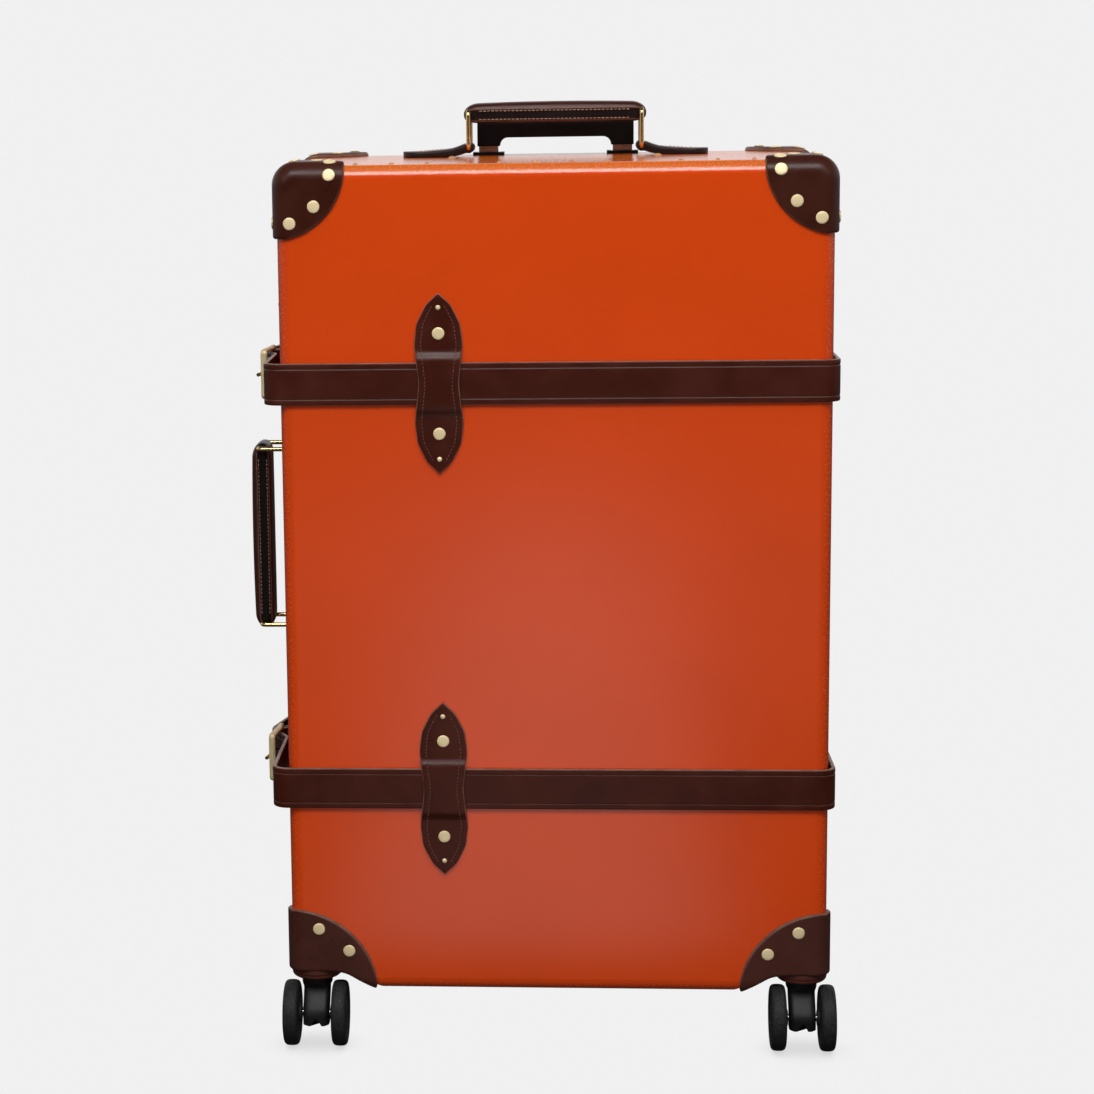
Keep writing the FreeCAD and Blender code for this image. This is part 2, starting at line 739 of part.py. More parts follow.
wheel_radius = wheel_diameter / 2
housing_low = case_bottom + housing_bottom
housing_high = case_bottom + pocket_height - cap_thickness - seat_gap
fork_high = housing_low - body_gap


def caster_housing():
    # A round cup, upside down against the pocket's ceiling, with a plain bore for the fork's stem.
    height = housing_high - housing_low
    cup = Part.makeCylinder(housing_diameter / 2, height, Vector(0, 0, housing_low))
    lower_rim = [edge for edge in cup.Edges if edge.BoundBox.ZMax < housing_low + seat_gap]
    cup = cup.makeFillet(housing_round, lower_rim)
    bore = Part.makeCylinder(stem_diameter / 2 + pin_clearance, height + 2 * overrun,
                             Vector(0, 0, housing_low - overrun))
    return cup.cut(bore)


def caster_fork():
    # A swivel cap and stem over a single leg that carries the axle between the two wheels.
    cheek = wheel_radius - fork_floor_gap
    cap_low = fork_high - fork_cap_height
    cap_edge = fork_cap_diameter / 2 - fork_cap_height / 2
    cap = Part.makeCylinder(fork_cap_diameter / 2, fork_cap_height, Vector(0, 0, cap_low))
    stem = Part.makeCylinder(stem_diameter / 2, housing_high - body_gap - cap_low, Vector(0, 0, cap_low))
    side = -fork_width / 2
    leg_high = fork_high - body_gap
    leg = prism([Vector(side, cap_edge, leg_high), Vector(side, cheek - caster_trail, wheel_radius),
                 Vector(side, -cheek - caster_trail, wheel_radius), Vector(side, -cap_edge, leg_high)],
                axis_x * fork_width)
    axle_line = Vector(0, -caster_trail, wheel_radius)
    low_end = bar(axle_line + axis_x * side, axle_line - axis_x * side, 2 * cheek)
    fork = cap.fuse([stem, leg, low_end]).removeSplitter()
    notch_low = fork_floor_gap - overrun
    notch_half = fork_notch_width / 2 * (overrun + fork_notch_height) / fork_notch_height
    notch_y = -caster_trail - fork_cap_diameter
    notch = prism([Vector(-notch_half, notch_y, notch_low), Vector(notch_half, notch_y, notch_low),
                   Vector(0, notch_y, fork_floor_gap + fork_notch_height)], axis_y * (2 * fork_cap_diameter))
    bore_half = axis_x * wheel_span
    bore = bar(axle_line - bore_half, axle_line + bore_half, axle_diameter + 2 * pin_clearance)
    return fork.cut(notch).cut(bore)


def caster_wheel(side):
    # A wheel with rounded shoulders, a shallow dish in its outer face and a bore for the axle.
    wheel = Part.makeCylinder(wheel_radius, wheel_width)
    wheel = wheel.makeFillet(wheel_edge, [edge for edge in wheel.Edges if len(edge.Vertexes) == 1])
    wheel = wheel.cut(Part.makeCylinder(wheel_dish_diameter / 2, wheel_dish + overrun,
                                        Vector(0, 0, wheel_width - wheel_dish)))
    wheel = wheel.cut(Part.makeCylinder(axle_diameter / 2 + pin_clearance, 2 * wheel_width))
    inner = Vector(side * (wheel_span / 2 - wheel_width), -caster_trail, wheel_radius)
    return point_at(wheel, inner, axis_x * side)


housing = caster_housing()
fork = caster_fork()
axle_half = Vector(wheel_span / 2 - wheel_dish, 0, 0)
axle_middle = Vector(0, -caster_trail, wheel_radius)
axle = bar(axle_middle - axle_half, axle_middle + axle_half, axle_diameter)
for name, side_y in side_of.items():
    housings = []
    for hand, side_x in (("left", -1), ("right", 1)):
        place = Vector(side_x * (half_width - caster_from_side), side_y * (half_depth - caster_from_face), 0)
        housings.append(housing.translated(place))
        caster = "caster_" + name + "_" + hand
        keep(caster + "_fork", fork.translated(place))
        keep(caster + "_axle", axle.translated(place))
        keep(caster + "_wheels", *[caster_wheel(side).translated(place) for side in (-1, 1)])
    keep(name + "_caster_housings", *housings)


# Hinges on the right side: the rear leaf has the outer knuckles and the pin, the front leaf the middle one

hinge_line = Vector(half_width + hinge_axis_stand, split_y, 0)


def hinge_leaf(level, side_y, spans):
    near = hinge_knuckle_diameter / 2 + body_gap
    flat = half_width + seat_gap
    plate_y = sorted((split_y + side_y * near, split_y + side_y * (near + hinge_leaf_width)))
    leaf = block(Vector(flat, plate_y[0], level - hinge_length / 2),
                 Vector(flat + hinge_leaf_thickness, plate_y[1], level + hinge_length / 2))
    bridge_y = sorted((split_y + side_y * body_gap, split_y + side_y * (near + hinge_leaf_thickness)))
    for low, high in spans:
        foot = hinge_line + axis_z * (level + low)
        knuckle = bar(foot, foot + axis_z * (high - low), hinge_knuckle_diameter)
        bridge = block(Vector(flat, bridge_y[0], level + low),
                       Vector(hinge_line.x - hinge_pin_diameter / 2, bridge_y[1], level + high))
        leaf = leaf.fuse([knuckle, bridge])
    pin_hole = bar(hinge_line + axis_z * (level - hinge_length), hinge_line + axis_z * (level + hinge_length),
                   hinge_pin_diameter + 2 * pin_clearance)
    return leaf.removeSplitter().cut(pin_hole)


third = hinge_length / 3
middle_span = [(-third / 2, third / 2)]
outer_spans = [(-hinge_length / 2, -third / 2 - body_gap), (third / 2 + body_gap, hinge_length / 2)]
hinge_shift = strap_width / 2 + hinge_from_strap + hinge_length / 2
low_hinge = strap_levels["lower"] + hinge_shift
high_hinge = strap_levels["upper"] - hinge_shift
hinge_levels = [low_hinge, (low_hinge + high_hinge) / 2, high_hinge]
pin_reach = axis_z * (hinge_length / 2)
pin_middles = [hinge_line + axis_z * level for level in hinge_levels]
pins = [bar(middle - pin_reach, middle + pin_reach, hinge_pin_diameter) for middle in pin_middles]
keep("front_hinge_leaves", *[hinge_leaf(level, -1, middle_span) for level in hinge_levels])
keep("rear_hinge_leaves", *[hinge_leaf(level, 1, outer_spans) for level in hinge_levels])
keep("hinge_pins", *pins)


# Locks on the left side: a hasp hinged on the lid closes over a lock body on the rear half

hasp_line = Vector(-half_width - hasp_axis_stand, split_y - hasp_axis_from_split, 0)
lock_face = -half_width - seat_gap - lock_thickness


def lock_body(level):
    low = Vector(lock_face, rear_edge + body_gap, level - lock_height / 2)
    body = block(low, low + Vector(lock_thickness, lock_depth, lock_height))
    outer_edges = [edge for edge in body.Edges if edge.BoundBox.XMax < lock_face + lock_edge]
    return body.makeFillet(lock_edge, outer_edges)


def hasp(level):
    inner = lock_face - body_gap
    neck = block(Vector(inner - hasp_plate_thickness, hasp_line.y, level - hasp_neck_height / 2),
                 Vector(inner, hasp_line.y + hasp_reach, level + hasp_neck_height / 2))
    wide_y = hasp_line.y + hasp_knuckle_diameter / 2 + body_gap
    plate = block(Vector(inner - hasp_plate_thickness, wide_y, level - hasp_plate_height / 2),
                  Vector(inner, hasp_line.y + hasp_reach, level + hasp_plate_height / 2))
    foot = hasp_line + axis_z * (level - hasp_neck_height / 2)
    knuckle = bar(foot, foot + axis_z * hasp_neck_height, hasp_knuckle_diameter)
    hole = bar(foot - axis_z * overrun, foot + axis_z * (hasp_neck_height + overrun),
               hasp_pin_diameter + 2 * pin_clearance)
    return neck.fuse([plate, knuckle]).removeSplitter().cut(hole)


def hasp_mount(level):
    # A plate on the lid with two ears and the pin between them.
    flat = -half_width - seat_gap
    half = hasp_mount_height / 2
    plate = block(Vector(flat - hasp_mount_thickness, hasp_line.y - hasp_mount_depth, level - half),
                  Vector(flat, hasp_line.y + hasp_knuckle_diameter / 2, level + half))
    foot = hasp_line + axis_z * (level - half)
    pin = bar(foot, foot + axis_z * hasp_mount_height, hasp_pin_diameter)
    ear_height = half - hasp_neck_height / 2 - body_gap
    ears = [bar(start, start + axis_z * ear_height, hasp_knuckle_diameter)
            for start in (foot, foot + axis_z * (hasp_mount_height - ear_height))]
    return plate.fuse(ears + [pin]).removeSplitter()


# Each lock is between a strap's edge and the nearer end of the case.
below_straps = lower_strap_height - strap_width / 2
above_straps = case_height - upper_strap_height - strap_width / 2
lock_levels = [case_bottom + lower_lock_share * below_straps,
               case_top - above_straps * (1 - upper_lock_share)]
keep("lock_bodies", *[lock_body(level) for level in lock_levels])
keep("hasp_mounts", *[hasp_mount(level) for level in lock_levels])
keep("lock_hasp_lower", hasp(lock_levels[0]))
keep("lock_hasp_upper", hasp(lock_levels[1]))


os.makedirs("parts", exist_ok=True)
for name, shape in nodes.items():
    if not shape.isValid():
        print("not valid:", name)
    shape.exportStep("parts/" + name + ".step")
print(len(nodes), "nodes,", sum(len(shape.Solids) for shape in nodes.values()), "solids")
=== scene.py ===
import json
import math
import bmesh
import bpy
import numpy as np
from mathutils import Matrix, Vector


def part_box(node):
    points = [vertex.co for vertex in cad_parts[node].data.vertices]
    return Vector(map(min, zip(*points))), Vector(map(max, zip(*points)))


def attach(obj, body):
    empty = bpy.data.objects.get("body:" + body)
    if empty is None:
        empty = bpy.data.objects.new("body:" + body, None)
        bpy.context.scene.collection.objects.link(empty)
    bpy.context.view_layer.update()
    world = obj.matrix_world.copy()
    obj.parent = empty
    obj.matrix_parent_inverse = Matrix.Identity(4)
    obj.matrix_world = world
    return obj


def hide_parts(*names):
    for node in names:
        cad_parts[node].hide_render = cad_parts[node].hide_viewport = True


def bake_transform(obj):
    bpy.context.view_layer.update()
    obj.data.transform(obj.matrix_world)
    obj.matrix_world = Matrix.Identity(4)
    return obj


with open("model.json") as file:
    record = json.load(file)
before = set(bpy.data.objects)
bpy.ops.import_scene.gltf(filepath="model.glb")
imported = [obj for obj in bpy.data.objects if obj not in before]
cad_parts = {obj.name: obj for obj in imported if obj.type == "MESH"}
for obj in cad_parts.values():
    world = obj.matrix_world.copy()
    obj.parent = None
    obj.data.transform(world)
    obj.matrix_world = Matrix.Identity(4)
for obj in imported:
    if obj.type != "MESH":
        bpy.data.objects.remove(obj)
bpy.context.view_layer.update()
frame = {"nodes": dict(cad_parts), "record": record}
nodes = frame["nodes"]
mm = 0.001
print("frame loaded:", len(nodes), "nodes")

# places read from the frame
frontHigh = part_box("front_shell")[1]
rearLow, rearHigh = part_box("rear_shell")
halfWide = rearHigh.x
halfDeep = rearHigh.y
caseBottom = rearLow.z
caseTop = rearHigh.z
splitY = (frontHigh.y + rearLow.y) / 2
strapLevel = {name: sum(corner.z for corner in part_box("rear_strap_" + name)) / 2
              for name in ("upper", "lower")}
keeperX = sum(corner.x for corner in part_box("front_keepers")) / 2


# mesh helpers: a part is (points, faces, edge), edge running from 0 on a face to 1 on a cut or worn edge

def inMm(**sizes):
    # settings given in millimetres
    return {name: size * mm for name, size in sizes.items()}


def columns(*parts):
    return np.stack(np.broadcast_arrays(*parts), axis=-1)


def roundAngles(steps):
    return np.linspace(0, 2 * math.pi, steps, endpoint=False)


def unit(vectors):
    return vectors / np.linalg.norm(vectors, axis=-1, keepdims=True)


def ringsPart(rings, ends="flat", edge=0.0):
    # a grid of closed rings: ring i at row i, joined to the next; ends are flat caps, poles or a closed loop
    along, around = rings.shape[:2]
    points = rings.reshape(-1, 3)
    row = np.arange(along if ends == "loop" else along - 1)[:, None]
    col = np.arange(around)[None, :]
    nextRow = (row + 1) % along
    nextCol = (col + 1) % around
    quads = columns(row * around + col, row * around + nextCol,
                      nextRow * around + nextCol, nextRow * around + col).reshape(-1, 4)
    faces = quads.tolist()
    marks = np.broadcast_to(edge, (along, around)).reshape(-1)
    if ends == "flat":
        faces.append(list(range(around))[::-1])
        faces.append([(along - 1) * around + i for i in range(around)])
    if ends == "pole":
        first = len(points)
        points = np.vstack([points, rings[0].mean(0), rings[-1].mean(0)])
        marks = np.append(marks, [marks[0], marks[-3]])
        loop = np.arange(around)
        faces += columns(np.roll(loop, -1), loop, np.full(around, first)).tolist()
        last = (along - 1) * around + loop
        faces += columns(last, np.roll(last, -1), np.full(around, first + 1)).tolist()
    return points, faces, marks


def turned(part, turn=None, move=(0, 0, 0)):
    # the same part turned by a 3 x 3 matrix, then moved
    points = part[0] if turn is None else part[0] @ np.asarray(turn).T
    return points + np.asarray(move), part[1], part[2]


def makePiece(name, parts, slot, body=None, replaced=None, look=None):
    # one object from several parts, outward normals, smooth shading; finish of its slot, or the one named
    count = 0
    allFaces = []
    for points, faces, marks in parts:
        allFaces += [[index + count for index in face] for face in faces]
        count += len(points)
    mesh = bpy.data.meshes.new(name)
    mesh.from_pydata(np.vstack([part[0] for part in parts]).tolist(), [], allFaces)
    edge = mesh.attributes.new("edge", "FLOAT", "POINT")
    edge.data.foreach_set("value", np.concatenate([part[2] for part in parts]).astype(np.float32))
    mesh.validate()
    cleanNormals(mesh)
    mesh.shade_smooth()
    mesh.materials.append(looks[look or slot])
    piece = bpy.data.objects.new(name, mesh)
    bpy.context.scene.collection.objects.link(piece)
    if body:
        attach(piece, body)
    if replaced:
        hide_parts(replaced)
    return piece


def cleanNormals(mesh):
    work = bmesh.new()
    work.from_mesh(mesh)
    bmesh.ops.recalc_face_normals(work, faces=work.faces)
    work.to_mesh(mesh)
    work.free()


def roundedPath(corners, radii, step):
    # straight runs joined by arcs, sampled about every step; corners are 2-d points
    corners = np.asarray(corners, float)
    out = [corners[0]]
    for before, corner, after, radius in zip(corners, corners[1:], corners[2:], radii):
        come, leave = unit(corner - before), unit(after - corner)
        angle = math.atan2(come[0] * leave[1] - come[1] * leave[0], come @ leave)
        start = corner - come * radius * math.tan(abs(angle) / 2)
        side = np.array([-come[1], come[0]]) * math.copysign(radius, angle)
        sweep = np.linspace(0, angle, max(4, int(radius * abs(angle) / step)))
        cos, sin = np.cos(sweep)[:, None], np.sin(sweep)[:, None]
        out += list(start + side - side * cos + np.array([side[1], -side[0]]) * sin)
    out.append(corners[-1])
    out = np.array(out)
    gaps = np.linalg.norm(np.diff(out, axis=0), axis=1)
    length = np.concatenate([[0], np.cumsum(gaps)])
    even = np.linspace(0, length[-1], max(8, int(length[-1] / step)))
    even = np.unique(np.concatenate([even, length]))
    return columns(*(np.interp(even, length, out[:, k]) for k in (0, 1))), even


def carry(path, binormal, section):
    # a closed section carried along a planar path: column 0 of the section runs along the binormal, column 1
    # along the path's own normal; a section may change from row to row
    path = np.asarray(path, float)
    normal = np.cross(binormal, unit(np.gradient(path, axis=0)))
    section = np.broadcast_to(section, (len(path),) + section.shape[-2:])
    return path[:, None] + section[..., :1] * np.asarray(binormal) + section[..., 1:] * normal[:, None]


def spin(profile, steps):
    # (radius, height) pairs turned about Z
    angle = roundAngles(steps)
    profile = np.asarray(profile, float)
    circle = columns(np.cos(angle), np.sin(angle), np.zeros(steps))
    return profile[:, :1, None] * circle[None] + profile[:, 1:, None] * np.array([0, 0, 1.0])


def aimed(outward):
    # a turn that takes +Z to outward
    return np.array(Vector((0, 0, 1)).rotation_difference(Vector(outward)).to_matrix())


def superRing(half, tall, power, steps):
    # |a / half|^power + |b / tall|^power = 1, walked round once
    angle = roundAngles(steps)
    cos, sin = np.cos(angle), np.sin(angle)
    a = np.sign(cos) * np.abs(cos) ** (2 / power) * half
    b = np.sign(sin) * np.abs(sin) ** (2 / power) * tall
    return columns(a, b)


def smoothStep(value, low, high):
    t = np.clip((value - low) / (high - low), 0, 1)
    return t * t * (3 - 2 * t)


# shared effects, as node groups

def feed(tree, socket, value):
    # a number or a colour is set, another node's output is linked
    if isinstance(value, bpy.types.NodeSocket):
        tree.links.new(value, socket)
    elif value is not None:
        socket.default_value = (*value, 1) if isinstance(value, tuple) else value


def newGroup(name, numbers, results):
    # every group takes a place, as Vector, and the numbers named with their usual values
    group = bpy.data.node_groups.new(name, "ShaderNodeTree")
    group.interface.new_socket("Vector", in_out="INPUT", socket_type="NodeSocketVector")
    for label, usual in numbers.items():
        socket = group.interface.new_socket(label, in_out="INPUT", socket_type="NodeSocketFloat")
        socket.default_value = usual
    for label in results:
        group.interface.new_socket(label, in_out="OUTPUT", socket_type="NodeSocketFloat")
    return group, group.nodes.new("NodeGroupInput").outputs, group.nodes.new("NodeGroupOutput").inputs


def addMath(tree, kind, first, second=None, third=None, clamp=False):
    node = tree.nodes.new("ShaderNodeMath")
    node.operation = kind
    node.use_clamp = clamp
    for socket, value in zip(node.inputs, (first, second, third)):
        feed(tree, socket, value)
    return node.outputs[0]


def addNoise(tree, vector, scale, detail, rough):
    node = tree.nodes.new("ShaderNodeTexNoise")
    for label, value in (("Vector", vector), ("Scale", scale), ("Detail", detail), ("Roughness", rough)):
        feed(tree, node.inputs[label], value)
    return node.outputs["Fac"]


def addRange(tree, value, low, high, toLow=0.0, toHigh=1.0):
    node = tree.nodes.new("ShaderNodeMapRange")
    node.interpolation_type = "SMOOTHSTEP"
    labels = ("Value", "From Min", "From Max", "To Min", "To Max")
    for label, number in zip(labels, (value, low, high, toLow, toHigh)):
        feed(tree, node.inputs[label], number)
    return node.outputs["Result"]


def makeGrainGroup():
    # two noises, a fine one for the bump and a broad one for the tone
    group, start, end = newGroup("surfaceGrain", {"Fine": 700.0, "Broad": 20.0}, ("Grain", "Tone"))
    broad = addNoise(group, start["Vector"], start["Broad"], 4.0, 0.55)
    feed(group, end["Grain"], addNoise(group, start["Vector"], start["Fine"], 3.0, 0.6))
    feed(group, end["Tone"], addRange(group, broad, 0.3, 0.7))
    return group


def makeHideGroup():
    # leather: cells about a pore wide under a broken noise, so that the creases run unevenly
    group, start, end = newGroup("leatherHide", {"Pore": 900.0}, ("Height", "Tone"))
    cells = group.nodes.new("ShaderNodeTexVoronoi")
    cells.feature = "SMOOTH_F1"
    feed(group, cells.inputs["Vector"], start["Vector"])
    feed(group, cells.inputs["Scale"], start["Pore"])
    uneven = addNoise(group, start["Vector"], 160.0, 4.0, 0.6)
    feed(group, end["Height"], addMath(group, "MULTIPLY_ADD", cells.outputs["Distance"], 0.5, uneven))
    broad = addNoise(group, start["Vector"], 26.0, 5.0, 0.6)
    feed(group, end["Tone"], addRange(group, broad, 0.32, 0.68))
    return group


def makeWearGroup():
    # how far an edge is worn: the edge attribute broken up by a noise
    group, start, end = newGroup("edgeWear", {"Edge": 0.0, "Amount": 1.0}, ("Wear",))
    patch = addNoise(group, start["Vector"], 90.0, 4.0, 0.65)
    broken = addMath(group, "MULTIPLY", start["Edge"], addRange(group, patch, 0.25, 0.6, 0.35, 1.0))
    feed(group, end["Wear"], addMath(group, "MULTIPLY", broken, start["Amount"], clamp=True))
    return group


groups = {"grain": makeGrainGroup(), "hide": makeHideGroup(), "wear": makeWearGroup()}


def startMaterial(name, colour, rough, metallic, specular):
    material = bpy.data.materials.new(name)
    material.use_nodes = True
    tree = material.node_tree
    shader = tree.nodes["Principled BSDF"].inputs
    for label, value in (("Base Color", colour), ("Roughness", rough), ("Metallic", metallic),
                         ("Specular IOR Level", specular)):
        feed(tree, shader[label], value)
    return material, tree, shader, tree.nodes.new("ShaderNodeTexCoord").outputs["Object"]


def addGroup(tree, name, **inputs):
    node = tree.nodes.new("ShaderNodeGroup")
    node.node_tree = groups[name]
    for label, value in inputs.items():
        feed(tree, node.inputs[label], value)
    return node.outputs


def mixColour(tree, factor, first, second):
    # sockets 0, 6 and 7 are the mix node's factor and its two colours
    node = tree.nodes.new("ShaderNodeMix")
    node.data_type = "RGBA"
    for index, value in ((0, factor), (6, first), (7, second)):
        feed(tree, node.inputs[index], value)
    return node.outputs[2]


def addBump(tree, shader, height, strength, distance):
    bump = tree.nodes.new("ShaderNodeBump")
    for label, value in (("Strength", strength), ("Distance", distance), ("Height", height)):
        feed(tree, bump.inputs[label], value)
    feed(tree, shader["Normal"], bump.outputs["Normal"])


def grained(name, dark, light, roughLow, roughHigh, fine, broad, bump, metallic=0.0, specular=0.5):
    # plain surface: tone from the broad noise, bump from the fine one
    material, tree, shader, place = startMaterial(name, dark, roughLow, metallic, specular)
    grain = addGroup(tree, "grain", Vector=place, Fine=fine, Broad=broad)
    feed(tree, shader["Base Color"], mixColour(tree, grain["Tone"], dark, light))
    feed(tree, shader["Roughness"], addRange(tree, grain["Grain"], 0.3, 0.7, roughLow, roughHigh))
    addBump(tree, shader, grain["Grain"], bump, 0.4 * mm)
    return material


hideLook = {"specular": 0.18, "band": (0.0075, 0.0050, 0.0048), "roughSpan": (-0.05, 0.06)}


def leather(name, dark, light, worn, rough, pore, bump):
    # hide bump and tone, paler where the edge attribute is above 0 and near black where it is below
    material, tree, shader, place = startMaterial(name, dark, rough, 0.0, hideLook["specular"])
    attribute = tree.nodes.new("ShaderNodeAttribute")
    attribute.attribute_name = "edge"
    edge = attribute.outputs["Fac"]
    hide = addGroup(tree, "hide", Vector=place, Pore=pore)
    worked = addGroup(tree, "wear", Vector=place, Edge=edge)
    body = mixColour(tree, hide["Tone"], dark, light)
    body = mixColour(tree, addMath(tree, "MULTIPLY", edge, -1.0, clamp=True), body, hideLook["band"])
    feed(tree, shader["Base Color"], mixColour(tree, worked["Wear"], body, worn))
    roughs = [rough + more for more in hideLook["roughSpan"]]
    feed(tree, shader["Roughness"], addRange(tree, hide["Tone"], 0.0, 1.0, *roughs))
    addBump(tree, shader, hide["Height"], bump, 0.5 * mm)
    return material


paint = {"finish": ((0.520, 0.0455, 0.0020), (0.545, 0.0480, 0.0024), 0.14, 0.21, 560.0, 9.0, 0.12,
                    0.0, 0.7),
         "bend": (0.93, 0.995), "levelBend": (0.15, 0.3), "grain": 0.12, "bendGrain": 0.45,
         # on this line, the upward range and tone are painted light: a yellower top, as if lit from above
         "bendRough": 0.08, "upward": (0.2, 0.6), "upwardTone": (0.46, 0.085, 0.005),
         "bareBelow": (0.11, 0.12), "bareUpward": (0.1, 0.2), "bareTone": (0.21, 0.16, 0.11)}


def paintedBoard():
    # smooth on the panels; on the bends, where no part of the facing attribute is near 1, the paint is
    # rougher, and along the level bends its grain opens; what faces up is painted yellower, a painted
    # highlight for the light from above, or bare board inside the bottom
    material = grained("paintedBoard", *paint["finish"])
    tree = material.node_tree
    shader = tree.nodes["Principled BSDF"].inputs
    attribute = tree.nodes.new("ShaderNodeAttribute")
    attribute.attribute_name = "facing"
    unitFacing = tree.nodes.new("ShaderNodeVectorMath")
    unitFacing.operation = "NORMALIZE"
    feed(tree, unitFacing.inputs[0], attribute.outputs["Vector"])
    facing, place = (tree.nodes.new("ShaderNodeSeparateXYZ") for kind in range(2))
    feed(tree, facing.inputs[0], unitFacing.outputs[0])
    feed(tree, place.inputs[0], tree.nodes["Texture Coordinate"].outputs["Object"])
    x, y, z = (addMath(tree, "ABSOLUTE", part) for part in facing.outputs)
    most = addMath(tree, "MAXIMUM", addMath(tree, "MAXIMUM", x, y), z)
    bend = addRange(tree, most, *paint["bend"], 1.0, 0.0)
    level = addMath(tree, "MULTIPLY", bend, addRange(tree, z, *paint["levelBend"]))
    grain = addMath(tree, "MULTIPLY_ADD", level, paint["bendGrain"], paint["grain"])
    feed(tree, tree.nodes["Bump"].inputs["Strength"], grain)
    rough, painted = (shader[label].links[0].from_socket for label in ("Roughness", "Base Color"))
    feed(tree, shader["Roughness"], addMath(tree, "MULTIPLY_ADD", bend, paint["bendRough"], rough))
    low = addRange(tree, place.outputs["Z"], *paint["bareBelow"], 1.0, 0.0)
    inside = addMath(tree, "MULTIPLY", low, addRange(tree, facing.outputs["Z"], *paint["bareUpward"]))
    # painted light: faces that look up are mixed towards a yellower tone, as if lit from above
    upward = addRange(tree, facing.outputs["Z"], *paint["upward"])
    painted = mixColour(tree, upward, painted, paint["upwardTone"])
    feed(tree, shader["Base Color"], mixColour(tree, inside, painted, paint["bareTone"]))
    return material


# dark and light tone, least and most roughness, fine and broad grain per metre, bump, metallic, specular
plain = {
    "ash_frame": ((0.30, 0.19, 0.10), (0.42, 0.28, 0.16), 0.5, 0.65, 260.0, 30.0, 0.25),
    "lining_cloth": ((0.225, 0.170, 0.118), (0.250, 0.192, 0.136), 0.85, 0.95, 1500.0, 60.0, 0.5),
    "cover_board": ((0.212, 0.158, 0.106), (0.232, 0.176, 0.120), 0.85, 0.95, 1500.0, 60.0, 0.5),
    "thread": ((0.060, 0.024, 0.017), (0.120, 0.056, 0.042), 0.6, 0.75, 2500.0, 400.0, 0.4),
    "paleThread": ((0.20, 0.11, 0.08), (0.34, 0.22, 0.17), 0.6, 0.75, 2500.0, 400.0, 0.4),
    "brass": ((0.72, 0.48, 0.20), (0.86, 0.63, 0.31), 0.17, 0.27, 1200.0, 60.0, 0.05, 1.0),
    "rivetBrass": ((0.66, 0.53, 0.30), (0.72, 0.58, 0.34), 0.40, 0.50, 1200.0, 60.0, 0.03, 0.25),
    "nailBrass": ((0.46, 0.22, 0.10), (0.58, 0.31, 0.16), 0.45, 0.6, 1200.0, 60.0, 0.05, 0.5),
    "steel_pin": ((0.50, 0.50, 0.50), (0.60, 0.60, 0.60), 0.25, 0.35, 1200.0, 60.0, 0.05, 1.0),
    "pull_tube": ((0.55, 0.55, 0.56), (0.66, 0.66, 0.67), 0.16, 0.22, 1500.0, 40.0, 0.03, 1.0),
    "black_plastic": ((0.006, 0.006, 0.0068), (0.010, 0.010, 0.011), 0.40, 0.48,
                      1600.0, 40.0, 0.05, 0.0, 0.18),
    "brown_plastic": ((0.058, 0.0155, 0.0100), (0.074, 0.0210, 0.0140), 0.36, 0.45,
                      1600.0, 40.0, 0.05, 0.0, 0.25),
    "wheel_rubber": ((0.0045, 0.0043, 0.0043), (0.020, 0.019, 0.0185), 0.55, 0.75,
                     900.0, 700.0, 0.30, 0.0, 0.25)}
# dark, light and worn tone, roughness, pores per metre, bump
hides = {
    "cap_leather": ((0.028, 0.0055, 0.0026), (0.040, 0.0088, 0.0046), (0.13, 0.060, 0.040),
        0.32, 1100.0, 0.03),
    # the bottom caps' leather: the cap leather painted paler, as painted light from the floor
    "lowCapLeather": ((0.046, 0.0130, 0.0090), (0.060, 0.0180, 0.0130), (0.15, 0.075, 0.055),
        0.32, 1100.0, 0.03),
    "strap_leather": ((0.034, 0.0056, 0.0026), (0.048, 0.0090, 0.0044), (0.20, 0.11, 0.085),
        0.34, 900.0, 0.05),
    "handle_leather": ((0.028, 0.0066, 0.0042), (0.042, 0.0105, 0.0070), (0.22, 0.13, 0.10),
        0.36, 900.0, 0.06)}


def materialName(key):
    first, *rest = key.split("_")
    return first + "".join(word.title() for word in rest)


looks = {"painted_board": paintedBoard()}
looks.update({key: grained(materialName(key), *values) for key, values in plain.items()})
looks.update({key: leather(materialName(key), *values) for key, values in hides.items()})


# case form: how far a point is outside the closed case, in metres, below 0 inside
caseForm = inMm(faceEdge=11, corner=16, pocketTall=21.5, pocketFlat=43.5, pocketReach=80.2, pocketSoft=5,
                pocketLip=2)


def softMax(a, b, soft):
    # max(a, b) with the crease rounded over about soft
    h = np.clip(0.5 + (a - b) / (2 * soft), 0, 1)
    return b + (a - b) * h + soft * h * (1 - h)


def caseDistance(points):
    # a rounded rectangle in XZ, then its rounded edge along Y, less the four caster pockets
    x, y = np.abs(points[..., 0]), np.abs(points[..., 1])
    z = points[..., 2]
    corner, edge = caseForm["corner"], caseForm["faceEdge"]
    qx = x - halfWide + corner
    qz = np.abs(z - (caseBottom + caseTop) / 2) - (caseTop - caseBottom) / 2 + corner
    plan = np.hypot(np.maximum(qx, 0), np.maximum(qz, 0)) + np.minimum(np.maximum(qx, qz), 0) - corner
    wx, wy = plan + edge, y - halfDeep + edge
    form = np.hypot(np.maximum(wx, 0), np.maximum(wy, 0)) + np.minimum(np.maximum(wx, wy), 0) - edge
    rise = z - caseBottom
    tall, run = caseForm["pocketTall"], caseForm["pocketReach"] - caseForm["pocketFlat"]
    soft = caseForm["pocketSoft"]
    sides = [softMax(((inward - caseForm["pocketReach"]) * tall + rise * run) / math.hypot(tall, run),
                     rise - tall, soft) for inward in (halfWide - x, halfDeep - y)]
    return softMax(form, -softMax(sides[0], sides[1], soft), caseForm["pocketLip"])


